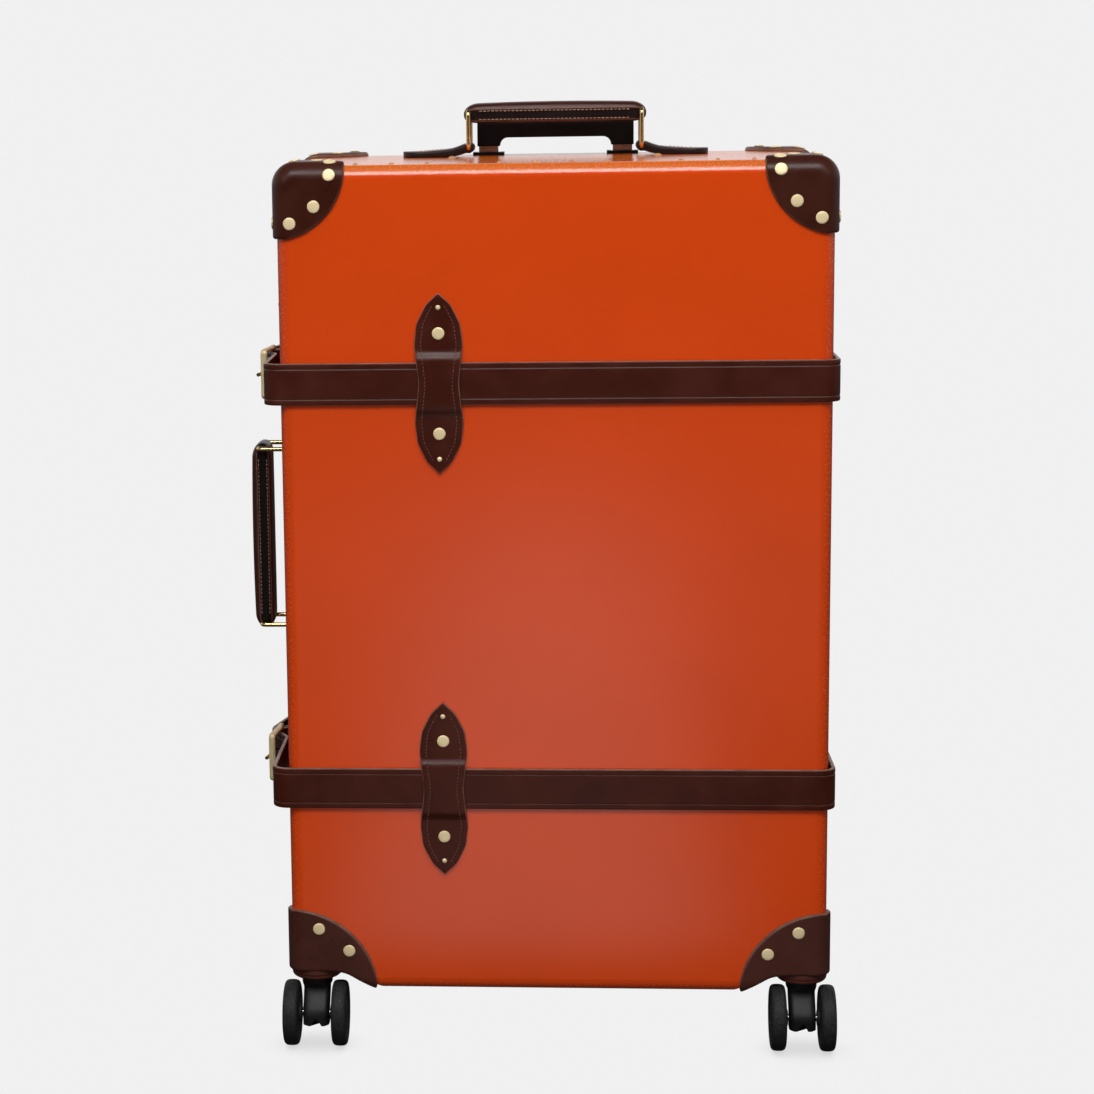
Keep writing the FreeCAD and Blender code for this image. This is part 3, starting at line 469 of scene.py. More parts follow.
def onCase(aim, core, offset):
    # where the ray from core through aim leaves the case grown by offset, found by halving
    ray = aim - core
    low, high = np.zeros(aim.shape[:-1]), np.full(aim.shape[:-1], 1.6)
    for turn in range(34):
        middle = (low + high) / 2
        inside = caseDistance(core + ray * middle[..., None]) < offset
        low, high = np.where(inside, middle, low), np.where(inside, high, middle)
    return core + ray * low[..., None]


def caseOutward(point):
    ways = np.eye(3) * 0.05 * mm
    return unit(caseDistance(point + ways) - caseDistance(point - ways))


# corner caps
caps = inMm(thick=3.6, seat=0.12, roll=2.4, past=5)
capSizes = {"top": inMm(reach=58, rise=60.5, core=44), "bottom": inMm(reach=74.5, rise=72, core=52)}
# the bottom caps take the paler leather, painted light from the floor
capLooks = {"top": "cap_leather", "bottom": "lowCapLeather"}
# rivets as shares of a cap's reach and rise; a head as (radius, height) pairs in millimetres
rivet = {"top": ((0.779, 0.121), (0.553, 0.550), (0.203, 0.778)), "bottom": ((0.329, 0.771), (0.677, 0.503)),
         "head": ((0.05, 0.95), (2.6, 0.93), (4.0, 0.86), (4.7, 0.72), (5.05, 0.46), (5.2, 0.1), (5.2, -0.2)),
         "steps": 24}


def rivetHead(place, outward, profile, steps):
    head = ringsPart(spin(np.array(profile) * mm, steps), "pole")
    return turned(head, aimed(outward), place)


def capPart(corner, inward, size):
    # polar grid over the three faces: angle 0 to 270 degrees round the corner, share 0 to 1 to the border
    share = np.concatenate([np.linspace(0.03, 0.9, 34), np.linspace(0.915, 1, 14)])
    inner = np.array([1.0, 0.97, 0.7, 0.3])
    angle = np.linspace(0, 1.5 * math.pi, 150, endpoint=False)
    sector = (angle // (math.pi / 2)).astype(int)
    turn = angle - sector * math.pi / 2
    first = np.array([[1, 0, 0], [0, 0, 1], [0, 1, 0]])[sector] * np.cos(turn)[:, None]
    second = np.array([[0, 0, 1], [0, 1, 0], [1, 0, 0]])[sector] * np.sin(turn)[:, None]
    spokes = (first + second) * np.array([size["reach"], size["reach"], size["rise"]])
    roll = caps["roll"] / size["reach"]
    rolled = np.clip((share - 1 + roll) / roll, 0, 1)
    outer = caps["seat"] + (caps["thick"] - caps["seat"]) * np.sqrt(1 - 0.98 * rolled ** 2)
    rows = np.concatenate([share, inner])
    offset = np.concatenate([outer, np.full(len(inner), caps["seat"])])
    aim = corner + inward * rows[:, None, None] * spokes
    core = corner + inward * size["core"]
    points = onCase(aim, core, offset[:, None])
    edge = np.concatenate([smoothStep(rolled, 0.25, 0.8), np.ones(len(inner))])
    return ringsPart(points, "pole", edge[:, None])


def makeCaps():
    for half, sideY, body in (("front", -1, "lid"), ("rear", 1, "rear_case")):
        heads = []
        for level, height, up in (("top", caseTop, 1), ("bottom", caseBottom, -1)):
            size = capSizes[level]
            parts = []
            for sideX in (-1, 1):
                corner = np.array([sideX * halfWide, sideY * halfDeep, height])
                inward = np.array([-sideX, -sideY, -up])
                parts.append(capPart(corner, inward, size))
                core = corner + inward * size["core"]
                for along, rise in rivet[level]:
                    along, rise = along * size["reach"], rise * size["rise"]
                    spots = [(along, 0, rise), (0, along, rise)] + [(along, rise, 0)] * (up > 0)
                    for spot in spots:
                        flat = np.array(spot) == 0
                        start = np.where(flat, core, corner + inward * np.array(spot))
                        aim = np.where(flat, corner - inward * caps["past"], start)
                        place = onCase(aim, start, caps["thick"])
                        heads.append(rivetHead(place, caseOutward(place), rivet["head"], rivet["steps"]))
            name = half + level.title() + "Caps"
            makePiece(name, parts, "cap_leather", body, f"{half}_{level}_caps", capLooks[level])
        capRivets[half] = heads


capRivets = {}
makeCaps()
print("corner caps made")


# straps: a creased flat section swept along the path the strap takes round the case, seen from above
strap = inMm(half=17.5, thick=3.5, crease=12.7, creaseDeep=0.4, creaseWide=0.55, round=1.1, off=2.05,
             bend=12, hingeBend=40, standLeft=10.2, standRight=2.4, step=3, tailRound=20, slotHalf=2.1,
             gap=0.2)
buckle = inMm(length=41, fold=4.95, foldThick=3.0, foldSlot=3.6, tail=87, slotTail=14, bend=8, back=40,
              lidGap=0.3, foldGap=0.1, backGap=1)
buckle.update(through=0.8, slotShare=0.62, flatShare=0.4)
heels = {joint["name"].split("_")[2]: np.array(joint["pos_m"][:2])
         for joint in frame["record"]["behaviour"]["joints"] if joint["name"].startswith("buckle_prong")}


def strapSection(low, high, thick):
    # outer face from low to high with a groove at each crease, then the plain inner face back
    half = strap["half"]
    byCrease, bySide = np.linspace(-1.3, 1.3, 9) * mm, np.array([1.1, 0.7, 0.35, 0.1]) * mm
    near = np.concatenate([np.linspace(-half, half, 13), byCrease + strap["crease"],
                           byCrease - strap["crease"], half - bySide, bySide - half, [low, high]])
    across = np.unique(np.round(near[(near >= low) & (near <= high)], 6))
    side = np.clip((np.abs(across) - half + strap["round"]) / strap["round"], 0, 1)
    drop = strap["round"] * (1 - np.sqrt(1 - side ** 2))
    groove = np.exp(-((np.abs(across) - strap["crease"]) / strap["creaseWide"]) ** 2)
    outer = columns(across, thick / 2 - drop - strap["creaseDeep"] * groove)
    inner = columns(across, -thick / 2 + 0.4 * drop)[::-1]
    worn = np.maximum(0.25 * groove ** 3, smoothStep(side, 0.55, 0.95))
    return np.concatenate([outer, inner]), np.concatenate([worn, smoothStep(side, 0.1, 0.5)[::-1]])


def strapPart(path, level, low=-1.0, high=1.0, thick=None, narrow=None):
    # one length of strap; low and high are shares of its half width, narrow shrinks rows to a rounded end
    section, marks = strapSection(low * strap["half"], high * strap["half"], thick or strap["thick"])
    if narrow is not None:
        section = columns(section[:, 0] * narrow[:, None], section[:, 1])
    path = np.column_stack([path, np.full(len(path), level)])
    return ringsPart(carry(path, (0, 0, 1), section), "flat", marks[None])


def slottedStrap(path, level, slotFrom, slotTo, slotHalf, thick=None, narrow=None):
    # full width, then two strips beside a slot between two rows, then full width again
    narrow = np.ones(len(path)) if narrow is None else narrow
    share = slotHalf / strap["half"]
    spans = [(0, slotFrom, -1, 1), (slotFrom, slotTo, share, 1), (slotFrom, slotTo, -1, -share),
             (slotTo, len(path) - 1, -1, 1)]
    return [strapPart(path[a:b + 1], level, low, high, thick, narrow[a:b + 1]) for a, b, low, high in spans]


def billetPath(heel):
    # from the middle of the back round the hinge side and the front, through the buckle and over its heel
    off = strap["off"]
    right, left = halfWide + off, -halfWide - off - strap["standLeft"]
    front, back = -halfDeep - off, halfDeep + off
    overHeel = heel[0] - buckle["fold"] - off
    tailX = -halfWide - strap["thick"] - 2 * off
    route = [(-keeperX, back), (right, back), (right, splitY), (right + strap["standRight"], front),
             (left, front), (left, heel[1] - buckle["length"] * buckle["through"]),
             (overHeel, heel[1] - strap["thick"]), (overHeel, heel[1] + strap["thick"]),
             (tailX, heel[1] + buckle["tail"])]
    bends = [strap["bend"], strap["hingeBend"]] + [strap["bend"]] * 3 + [buckle["bend"]] * 2
    return roundedPath(route, bends, strap["step"])


def makeStraps():
    side, back = halfWide + strap["off"], halfDeep + strap["off"]
    for name, level in strapLevel.items():
        heel = heels[name]
        path, along = billetPath(heel)
        toEnd = along[-1] - along
        narrow = np.sqrt(np.clip(1 - (1 - toEnd / strap["tailRound"]).clip(0, 0.985) ** 2, 0.03, 1))
        onTail = (path[:, 0] < -halfWide) & (path[:, 1] > heel[1] - buckle["length"] * buckle["slotShare"])
        slotFrom = np.argmax(onTail)
        slotTo = slotFrom + np.argmax(path[slotFrom:, 1] > heel[1] + buckle["slotTail"])
        parts = slottedStrap(path, level, slotFrom, slotTo, strap["slotHalf"], None, narrow)
        piece = makePiece("longStrap." + name, parts, "strap_leather", None, "front_strap_" + name)
        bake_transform(piece)
        route = [(-keeperX, back), (-side, back), (-side, splitY + strap["gap"])]
        rearPath = roundedPath(route, [strap["bend"]], strap["step"])[0]
        rearPath = rearPath[rearPath[:, 0] < -keeperX - strap["gap"]]
        part = strapPart(rearPath, level)
        makePiece("rearStrap." + name, [part], "strap_leather", "rear_case", "rear_strap_" + name)


def buckleStrap(heel, level):
    # along the left side, out to the buckle, round its heel bar and back on itself towards the opening
    thick, lidEdge = buckle["foldThick"], splitY - buckle["lidGap"]
    side, over = -halfWide - strap["off"], strap["thick"] / 2 + thick / 2 + buckle["foldGap"]
    loop = buckle["fold"] - thick / 2
    bendY = lidEdge - buckle["flatShare"] * (lidEdge - heel[1])
    lean = math.atan2(side - heel[0] - loop, bendY - heel[1])
    turn = -lean - np.linspace(0, math.pi, 26)
    fold = heel + loop * columns(np.cos(turn), np.sin(turn))
    come = roundedPath([(side, lidEdge), (side, bendY), fold[0]], [buckle["bend"]], strap["step"])[0]
    returnEnd = min(heel[1] + buckle["back"], lidEdge - buckle["backGap"])
    bendAt = (side - over, bendY + over * math.tan(lean / 2))
    route = [fold[-1], bendAt, (side - over, returnEnd)]
    leave = roundedPath(route, [buckle["bend"] - over], strap["step"])[0]
    path = np.concatenate([come, fold[1:-1], leave])
    slotFrom = np.argmax(path[:, 1] < heel[1] + 2 * buckle["fold"])
    slotTo = len(come) + np.argmax(path[len(come):, 1] > heel[1] + 2 * buckle["fold"])
    return slottedStrap(path, level, slotFrom, slotTo, buckle["foldSlot"], thick)


def makeBuckleStraps():
    parts = [part for name, level in strapLevel.items() for part in buckleStrap(heels[name], level)]
    makePiece("buckleStraps", parts, "strap_leather", "lid", "buckle_straps")


# buckle frames: round at the heel bar, deeper towards the case along the sides and the toe
ringForm = inMm(halfTall=20.2, corner=2.4, wire=1.9, deeper=1.1, deepFrom=6, deepTo=14, step=1.5)
ringForm.update(tilt=7.7, steps=18)


def buckleFrame(heel, level):
    # a rounded rectangle of bar: first axis heel to toe, second up, third out of the buckle
    tilt = math.radians(ringForm["tilt"])
    axes = np.array([(-math.sin(tilt), -math.cos(tilt), 0), (0, 0, 1), (-math.cos(tilt), math.sin(tilt), 0)])
    toe, tall = buckle["length"], ringForm["halfTall"]
    corners = [(toe / 2, -tall), (toe, -tall), (toe, tall), (0, tall), (0, -tall), (toe / 2, -tall)]
    path = roundedPath(corners, [ringForm["corner"]] * 4, ringForm["step"])[0][:-1]
    along = unit(np.roll(path, -1, axis=0) - np.roll(path, 1, axis=0))
    side = columns(along[:, 1], -along[:, 0])
    deeper = ringForm["deeper"] * smoothStep(path[:, 0], ringForm["deepFrom"], ringForm["deepTo"])
    angle = roundAngles(ringForm["steps"])
    flat = path[:, None] + ringForm["wire"] * np.cos(angle)[None, :, None] * side[:, None]
    out = (ringForm["wire"] + deeper[:, None]) * np.sin(angle)[None] - deeper[:, None]
    rows = np.concatenate([flat, out[..., None]], axis=-1) @ axes
    return ringsPart(rows + np.array([*heel, level]), "loop")


def makeBuckleFrames():
    parts = [buckleFrame(heels[name], level) for name, level in strapLevel.items()]
    makePiece("buckleFrames", parts, "brass", "lid", "buckle_frames", "rivetBrass")


makeStraps()
makeBuckleStraps()
makeBuckleFrames()
print("straps made")


# keepers: a waisted plate with pointed ends that arches over the strap, with stitches inside each edge
keeper = inMm(half=20.5, long=75.5, thick=3.2, seat=0.06, lift=3.9, flatTo=28, archTo=19.6, inset=5.6,
              stitch=2.1, pitch=3.1, thread=0.42, rivetAt=42, nailAt=63.5, bevel=1.3, bevelDeep=0.9,
              groove=0.7, grooveDeep=0.22)
keeper["outline"] = ((0.82, 0.0), (0.90, 0.21), (1.0, 0.43), (0.90, 0.66), (0.52, 0.87), (0.0, 1.0))
nailHead = ((0.05, 1.3), (0.8, 1.2), (1.5, 0.85), (2.0, 0.4), (2.2, -0.2))


def keeperHalfWidth(z):
    # the outline's shares joined by a smooth curve
    shares = np.array(keeper["outline"])
    dense = np.linspace(0, 1, 241)
    wide = np.interp(dense, shares[:, 1], shares[:, 0])
    window = np.hanning(33)
    mirrored = np.concatenate([wide[32:0:-1], wide, np.full(32, -0.04)])
    soft = np.convolve(mirrored, window / window.sum(), "same")[32:273]
    return keeper["half"] * np.maximum(np.interp(np.abs(z) / keeper["long"], dense, soft), 0.0)


def keeperLift(z):
    return keeper["seat"] + keeper["lift"] * (1 - smoothStep(np.abs(z), keeper["archTo"], keeper["flatTo"]))


def keeperPlate():
    # rows along its length; each row a rounded flat ring, local axes: across, out, along
    z = keeper["long"] * np.sin(np.linspace(-math.pi / 2, math.pi / 2, 96)) * 0.995
    wide = np.maximum(keeperHalfWidth(z), 0.4 * mm)
    ring = superRing(1.0, 1.0, 9.0, 56)
    across = ring[None, :, 0] * wide[:, None]
    bevel = np.clip(1 - (wide[:, None] - np.abs(across)) / keeper["bevel"], 0, 1)
    top = ring[:, 1] > 0
    tall = keeper["thick"] * (0.5 + 0.5 * ring[:, 1]) - np.where(top, keeper["bevelDeep"] * bevel ** 2, 0)
    out = keeperLift(z)[:, None] + tall
    groove = np.exp(-((np.abs(across) - wide[:, None] + keeper["inset"]) / keeper["groove"]) ** 2)
    out -= np.where(top, keeper["grooveDeep"] * groove * (wide[:, None] > 8 * mm), 0)
    rows = columns(across, out, z[:, None])
    return ringsPart(rows, "flat", smoothStep(bevel, 0.25, 0.85))


def stitchPart(place, along, outward, length, radius):
    # a short thread: rings of six points, swollen in the middle
    share = np.array([-1, -0.72, 0, 0.72, 1])
    swell = np.array([0.35, 0.9, 1, 0.9, 0.35])
    side = np.cross(along, outward)
    angle = roundAngles(6)
    circle = np.cos(angle)[:, None] * side + np.sin(angle)[:, None] * outward
    middles = place + share[:, None, None] * along * length / 2
    return ringsPart(middles + swell[:, None, None] * circle[None] * radius)


def keeperStitches():
    parts = []
    for side in (-1, 1):
        z = np.linspace(-0.86, 0.86, 400) * keeper["long"]
        out = keeperLift(z) + keeper["thick"] - 0.2 * mm
        line = columns(side * (keeperHalfWidth(z) - keeper["inset"]), out, z)
        length = np.concatenate([[0], np.cumsum(np.linalg.norm(np.diff(line, axis=0), axis=1))])
        for at in np.arange(keeper["pitch"] / 2, length[-1], keeper["pitch"]):
            place = np.array([np.interp(at, length, line[:, k]) for k in range(3)])
            ahead = np.array([np.interp(at + 0.5 * mm, length, line[:, k]) for k in range(3)])
            if side * place[0] > 2.5 * mm:
                along = unit(ahead - place)
                outward = np.cross((side * 1.0, 0, 0), along) * side
                outward *= math.copysign(1 / np.linalg.norm(outward), outward[1])
                parts.append(stitchPart(place, along, outward, keeper["stitch"], keeper["thread"]))
    return parts


def makeKeepers():
    plate, stitches = keeperPlate(), keeperStitches()
    halves = (("front", -1, (keeperX,), "lid"), ("rear", 1, (keeperX, -keeperX), "rear_case"))
    heads = ((rivet["head"], keeper["rivetAt"], rivet["steps"]), (nailHead, keeper["nailAt"], 16))
    for half, sideY, places, body in halves:
        outer = sideY * (halfDeep + keeper["seat"] + keeper["thick"])
        turn = np.diag([1.0, sideY, 1.0])
        plates, threads = [], []
        for x in places:
            for level in strapLevel.values():
                move = (x, sideY * halfDeep, level)
                plates.append(turned(plate, turn, move))
                threads += [turned(thread, turn, move) for thread in stitches]
                for up in (-1, 1):
                    for head, reach, steps in heads:
                        spot = np.array([x, outer, level + up * reach])
                        capRivets[half].append(rivetHead(spot, (0, sideY, 0), head, steps))
        makePiece(half + "Keepers", plates, "strap_leather", body, half + "_keepers")
        makePiece(half + "KeeperStitches", threads, "strap_leather", body, look="thread")
        makePiece(half + "Rivets", capRivets[half], "brass", body, half + "_rivets", "rivetBrass")


makeKeepers()
print("keepers and rivets made")


# carry handles, built about a point on the panel: axes along the handle, across it and out of the panel
handle = inMm(bar=8, high=46.8, low=29.6, half=19, pastRing=4.25, endRound=13, seamHigh=41.8, seamLow=31.4,
              seamWide=0.55, ridge=0.55, band=0.5, bandEdge=1, crown=1.3, stitch=2.6, pitch=3.6, thread=0.45,
              stitchFrom=15, stitchTo=14, stitchOut=0.25, stitchIn=1.5)


def handlePlaces():
    # where each handle's middle stands, its turn, and how far its rings are from that middle
    places = {}
    for name, ends, along in (("top", ("left", "right"), 0), ("side", ("lower", "upper"), 2)):
        corners = [np.array(corner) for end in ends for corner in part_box(f"{name}_ring_{end}")]
        middle = sum(corners) / 4
        ring = abs((corners[0] + corners[1] - corners[2] - corners[3])[along]) / 4
        if name == "top":
            foot, turn = (middle[0], middle[1], caseTop), np.eye(3)
        else:
            foot, turn = (-halfWide, middle[1], middle[2]), np.array([[0, 0, -1], [0, 1, 0], [1, 0, 0]])
        places[name] = (np.array(foot), turn, ring)
    return places


def gripPart(ringAt):
    # rings along the grip: a flat oval with a sewn ridge at each seam and a dark band between; rounded ends
    long = ringAt + handle["pastRing"]
    along = long * np.sin(np.linspace(-math.pi / 2, math.pi / 2, 120))
    past = np.clip((np.abs(along) - long + handle["endRound"]) / handle["endRound"], 0, 0.999)
    end = np.sqrt(1 - past ** 2)
    ring = superRing(1.0, 1.0, 4.2, 112)
    middle, tall = (handle["high"] + handle["low"]) / 2, (handle["high"] - handle["low"]) / 2
    across = ring[None, :, 0] * handle["half"] * (0.62 + 0.38 * end[:, None])
    shrink = np.where(ring[None, :, 1] > 0, end[:, None], np.sqrt(end)[:, None])
    out = middle + ring[None, :, 1] * tall * np.maximum(shrink, 0.05)
    out = out + handle["crown"] * (1 - (along / long) ** 2)[:, None] * (ring[None, :, 1] > 0.5)
    level = middle + ring[:, 1] * tall
    onSide = np.abs(ring[:, 0]) > 0.8
    high, low = handle["seamHigh"], handle["seamLow"]
    ridge = sum(np.exp(-((level - seam) / handle["seamWide"]) ** 2) for seam in (high, low))
    fade = handle["bandEdge"]
    band = smoothStep(level, low, low + fade) - smoothStep(level, high - fade, high)
    relief = onSide * (handle["ridge"] * ridge - handle["band"] * band)
    across = across + np.sign(ring[:, 0]) * relief * end[:, None]
    marks = onSide * (0.75 * ridge - band * (1 - np.clip(ridge, 0, 1)))
    return ringsPart(columns(along[:, None], across, out), "pole", marks[None])


def stitchRow(along, across, level, outward):
    # stitches that run along the first axis
    places = columns(along, across, level)
    return [stitchPart(place, np.array([1.0, 0, 0]), np.array(outward), handle["stitch"], handle["thread"])
            for place in places]


def gripStitches(ringAt):
    parts = []
    long = ringAt + handle["pastRing"]
    along = np.arange(-long + handle["stitchFrom"], long - handle["stitchTo"], handle["pitch"])
    for side in (-1, 1):
        out = side * (handle["half"] + handle["stitchOut"])
        for level in (handle["seamHigh"] - handle["stitchIn"], handle["seamLow"] + handle["stitchIn"]):
            parts += stitchRow(along, out, level, (0, side * 1.0, 0))
    return parts


# chapes: two layers sewn over a filler, flat on the panel, that rise to a roll round the ring's lower bar;
# shape rows in millimetres: distance from the bar, height of the strap's middle, thickness
chape = inMm(half=18, top=59, side=50, roll=4.5, step=2, stitchFrom=26, stitchEnd=13, stitchIn=3.2,
             sunk=0.05)
chape["shape"] = ((0.0, 8.0, 8.6), (4.0, 7.4, 8.4), (9.0, 5.6, 8.0), (15.0, 4.0, 7.6),
                  (26.0, 3.3, 6.4), (42.0, 2.7, 5.2))


def chapePart(side, ringAt, length):
    tip = ringAt + length
    shape = np.array(chape["shape"]) * mm
    out = np.append(np.arange(0, length, chape["step"]), length)
    middle, thick = (np.interp(out, shape[:, 0], shape[:, k]) for k in (1, 2))
    path = columns(ringAt + out, middle)
    tipRound = chape["half"] * 0.8
    rounding = np.clip((path[:, 0] - tip + tipRound) / tipRound, 0, 0.995)
    wide = chape["half"] * np.sqrt(1 - rounding ** 2 * 0.97)
    ring = superRing(1.0, 1.0, 7.0, 40)
    section = columns(ring[None, :, 0] * wide[:, None], ring[None, :, 1] * thick[:, None] / 2)
    rows = carry(np.column_stack([path[:, 0], np.zeros(len(path)), path[:, 1]]), (0, 1, 0), section)
    rows[..., 0] *= side
    strip = ringsPart(rows, "flat", -0.9 * smoothStep(np.abs(ring[:, 0]), 0.94, 0.995)[None])
    roll = spin([(chape["roll"] * share, along * chape["half"]) for share, along in
                 ((0.6, -1), (0.9, -1), (1, -0.96), (1, 0.96), (0.9, 1), (0.6, 1))], 40)
    upright = np.array([[1, 0, 0], [0, 0, 1], [0, -1, 0]])
    return strip, turned(ringsPart(roll, "flat", -0.6), upright, (side * ringAt, 0, handle["bar"]))


def chapeStitches(side, ringAt, length):
    shape = np.array(chape["shape"]) * mm
    out = np.arange(chape["stitchFrom"], length - chape["stitchEnd"], handle["pitch"])
    level = np.interp(out, shape[:, 0], shape[:, 1] + shape[:, 2] / 2) - chape["sunk"]
    inset = chape["half"] - chape["stitchIn"]
    return [stitch for edge in (-inset, inset)
            for stitch in stitchRow(side * (ringAt + out), edge, level, (0, 0, 1.0))]


def makeHandles():
    tabs, tabStitches = [], []
    for name, (place, turn, ringAt) in handlePlaces().items():
        node = name + "_grip"
        makePiece(name + "Grip", [turned(gripPart(ringAt), turn, place)], "handle_leather", node, node)
        seams = [turned(stitch, turn, place) for stitch in gripStitches(ringAt)]
        makePiece(name + "GripStitches", seams, "handle_leather", node, look="paleThread")
        for side in (-1, 1):
            size = (side, ringAt, chape[name])
            tabs += [turned(part, turn, place) for part in chapePart(*size)]
            tabStitches += [turned(stitch, turn, place) for stitch in chapeStitches(*size)]
    makePiece("handleChapes", tabs, "handle_leather", "rear_case", "handle_chapes")
    makePiece("chapeStitches", tabStitches, "handle_leather", "rear_case", look="paleThread")


makeHandles()
print("carry handles made")


# casters: cup-shaped housing, one-leg fork, twin wheels with rounded treads and a dished outer face
caster = inMm(innerFace=14.5, capHalf=13.3, legHalf=11.5, legDeep=11.2, lean=1.5, capTall=7, notchHalf=4.6,
              notchTall=6.0, forkGap=0.4)
# (radius, height) pairs in millimetres
caster["housing"] = ((5.2, 10.1), (21.9, 10.1), (22.1, 9.7), (22.1, 5.2), (21.6, 4.8), (21.6, 3.2),
                     (21.1, 1.8), (19.8, 0.8), (17.4, 0.3), (14.4, 0.15), (12.0, 0.1), (5.2, 0.1))
caster["wheel"] = ((3.1, -2.2), (6.4, -2.2), (7.2, -1.6), (7.4, 0.4), (12.0, 0.9), (20.5, 0.9), (22.0, 0.3),
                   (24.6, 0.0), (26.6, 0.5), (27.9, 1.9), (28.4, 4.0), (28.5, 6.5), (28.4, 9.0),
                   (27.9, 11.1), (26.6, 12.5), (24.6, 13.0), (22.2, 12.8), (20.4, 11.9), (19.6, 11.5),
                   (9.6, 11.4), (8.8, 11.9), (8.2, 12.5), (3.1, 12.6))


def soften(profile, times):
    # corner cutting on a closed profile: each side gives points a quarter of its length from either end
    profile = np.asarray(profile, float)
    for turn in range(times):
        ahead = np.roll(profile, -1, axis=0)
        cuts = [0.75 * profile + 0.25 * ahead, 0.25 * profile + 0.75 * ahead]
        profile = np.stack(cuts, axis=1).reshape(-1, 2)
    return profile


def wheelPart(place, side):
    wheel = ringsPart(spin(soften(caster["wheel"], 1) * mm, 64), "loop")
    turn = np.array([[0, 0, side], [0, 1, 0], [1, 0, 0]])
    return turned(wheel, turn, place + np.array([side * caster["innerFace"], 0, 0]))


def forkPart(swivel, axle, low, high):
    # oval sections from the round cap under the housing, forward to the axle and down to a notched foot
    down = np.concatenate([[0.0, 0.004], np.linspace(0.012, 0.97, 44), [0.985, 0.995, 1.0]])
    z = high - down * (high - low)
    belowCap = smoothStep(high - z, caster["capTall"] * 0.75, caster["capTall"] * 1.35)
    lean = smoothStep(high - z, caster["capTall"], (high - axle[2]) * 1.05)
    lip = np.minimum(smoothStep(down, -0.006, 0.02), 1 - 0.16 * smoothStep(down, 0.96, 1.0) ** 2)
    foot, cap = np.where(down > 0.97, lip, 1), caster["capHalf"] * (1 - belowCap)
    half = (cap + caster["legHalf"] * belowCap) * (0.93 + 0.07 * lip) * foot
    deep = (cap + caster["legDeep"] * belowCap - caster["lean"] * lean) * foot
    oval = superRing(half[:, None], deep[:, None], (2.05 + 2.2 * belowCap)[:, None], 64)
    x, y = oval[..., 0], oval[..., 1] + (axle[1] - swivel[1]) * lean[:, None]
    notch = caster["notchTall"] * np.clip(1.6 * (1 - np.abs(x) / caster["notchHalf"]), 0, 1)
    notch = notch * smoothStep(down, 0.80, 0.97)[:, None]
    rows = columns(x + swivel[0], y + swivel[1], z[:, None] + notch)
    return ringsPart(rows, "flat")


def makeCasters():
    for face, body in (("front", "lid"), ("rear", "rear_case")):
        cups = []
        for hand in ("left", "right"):
            name = "caster_" + face + "_" + hand
            low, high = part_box(name + "_axle")
            axle = np.array((low + high) / 2)
            low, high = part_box(name + "_fork")
            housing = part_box(face + "_caster_housings")
            swivel = np.array([(low.x + high.x) / 2, high.y - caster["capHalf"], 0])
            top = housing[0].z - caster["forkGap"]
            label, wheels = face + hand.title(), [wheelPart(axle, side) for side in (-1, 1)]
            fork = forkPart(swivel, axle, low.z, top)
            makePiece(label + "Fork", [fork], "black_plastic", name, name + "_fork")
            makePiece(label + "Wheels", wheels, "wheel_rubber", name + "_wheelset", name + "_wheels")
            cup = ringsPart(spin(soften(caster["housing"], 1) * mm, 72), "loop")
            cups.append(turned(cup, None, (swivel[0], swivel[1], housing[0].z)))
        makePiece(face + "CasterCups", cups, "brown_plastic", body, face + "_caster_housings")


makeCasters()
print("casters made")


# linings: cloth glued inside the shells, an inner skin with soft pillows and an outer skin against the board
lining = inMm(outer=-2.6, thick=0.95, pillow=0.22, pitch=46, bridge=2.2, fold=1, wallFrom=4)


def liningAims(share):
    # points round a rectangle's border, pulled in towards its middle by share
    walk = np.linspace(0, 4, 320, endpoint=False)
    side, part = walk.astype(int), walk % 1 * 2 - 1
    x = np.choose(side, [part, np.ones_like(part), -part, -np.ones_like(part)])
    z = np.choose(side, [-np.ones_like(part), part, np.ones_like(part), -part])
    return columns(x * halfWide, np.zeros_like(x), z * (caseTop - caseBottom) / 2) * share


def liningRows(stations, offset):
    # stations are (share, depth) pairs; each gives a ring where rays from inside meet the case less offset
    middle = np.array([0, 0, (caseBottom + caseTop) / 2])
    rows = []
    for share, depth in stations:
        aim = liningAims(share) + middle + np.array([0, depth, 0])
        core = liningAims(share * 0.9) * 0.9 + middle + np.array([0, depth * 0.6, 0])
        wave = math.pi / lining["pitch"]
        pillows = np.sin(wave * aim[:, 0]) * np.sin(wave * (aim[:, 2] + aim[:, 1]))
        swell = lining["pillow"] * pillows if offset < lining["outer"] else 0
        rows.append(onCase(aim, core, offset - swell))
    return rows


def makeLinings():
    # the cloth bridges the creases of the caster pockets, so it clears them all round
    for key in ("pocketTall", "pocketFlat", "pocketReach"):
        caseForm[key] += lining["bridge"]
    caseForm["pocketSoft"] = lining["fold"]
    inner = lining["outer"] - lining["thick"]
    floor = [(share, -halfDeep) for share in np.linspace(0.02, 0.97, 44)]
    deep = np.linspace(-halfDeep + lining["wallFrom"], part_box("front_lining")[1].y, 16)
    walls = [(1.0, depth) for depth in deep]
    rows = liningRows(floor + walls, inner) + liningRows((floor + walls)[::-1], lining["outer"])
    makePiece("frontLining", [ringsPart(np.array(rows), "pole")], "lining_cloth", "lid", "front_lining")
    low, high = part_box("rear_lining")
    walls = [(1.0, depth) for depth in np.linspace(low.y, high.y, 12)]
    rows = liningRows(walls, inner) + liningRows(walls[::-1], lining["outer"])
    makePiece("rearLining", [ringsPart(np.array(rows), "loop")], "lining_cloth", "rear_case", "rear_lining")


makeLinings()
print("linings made")


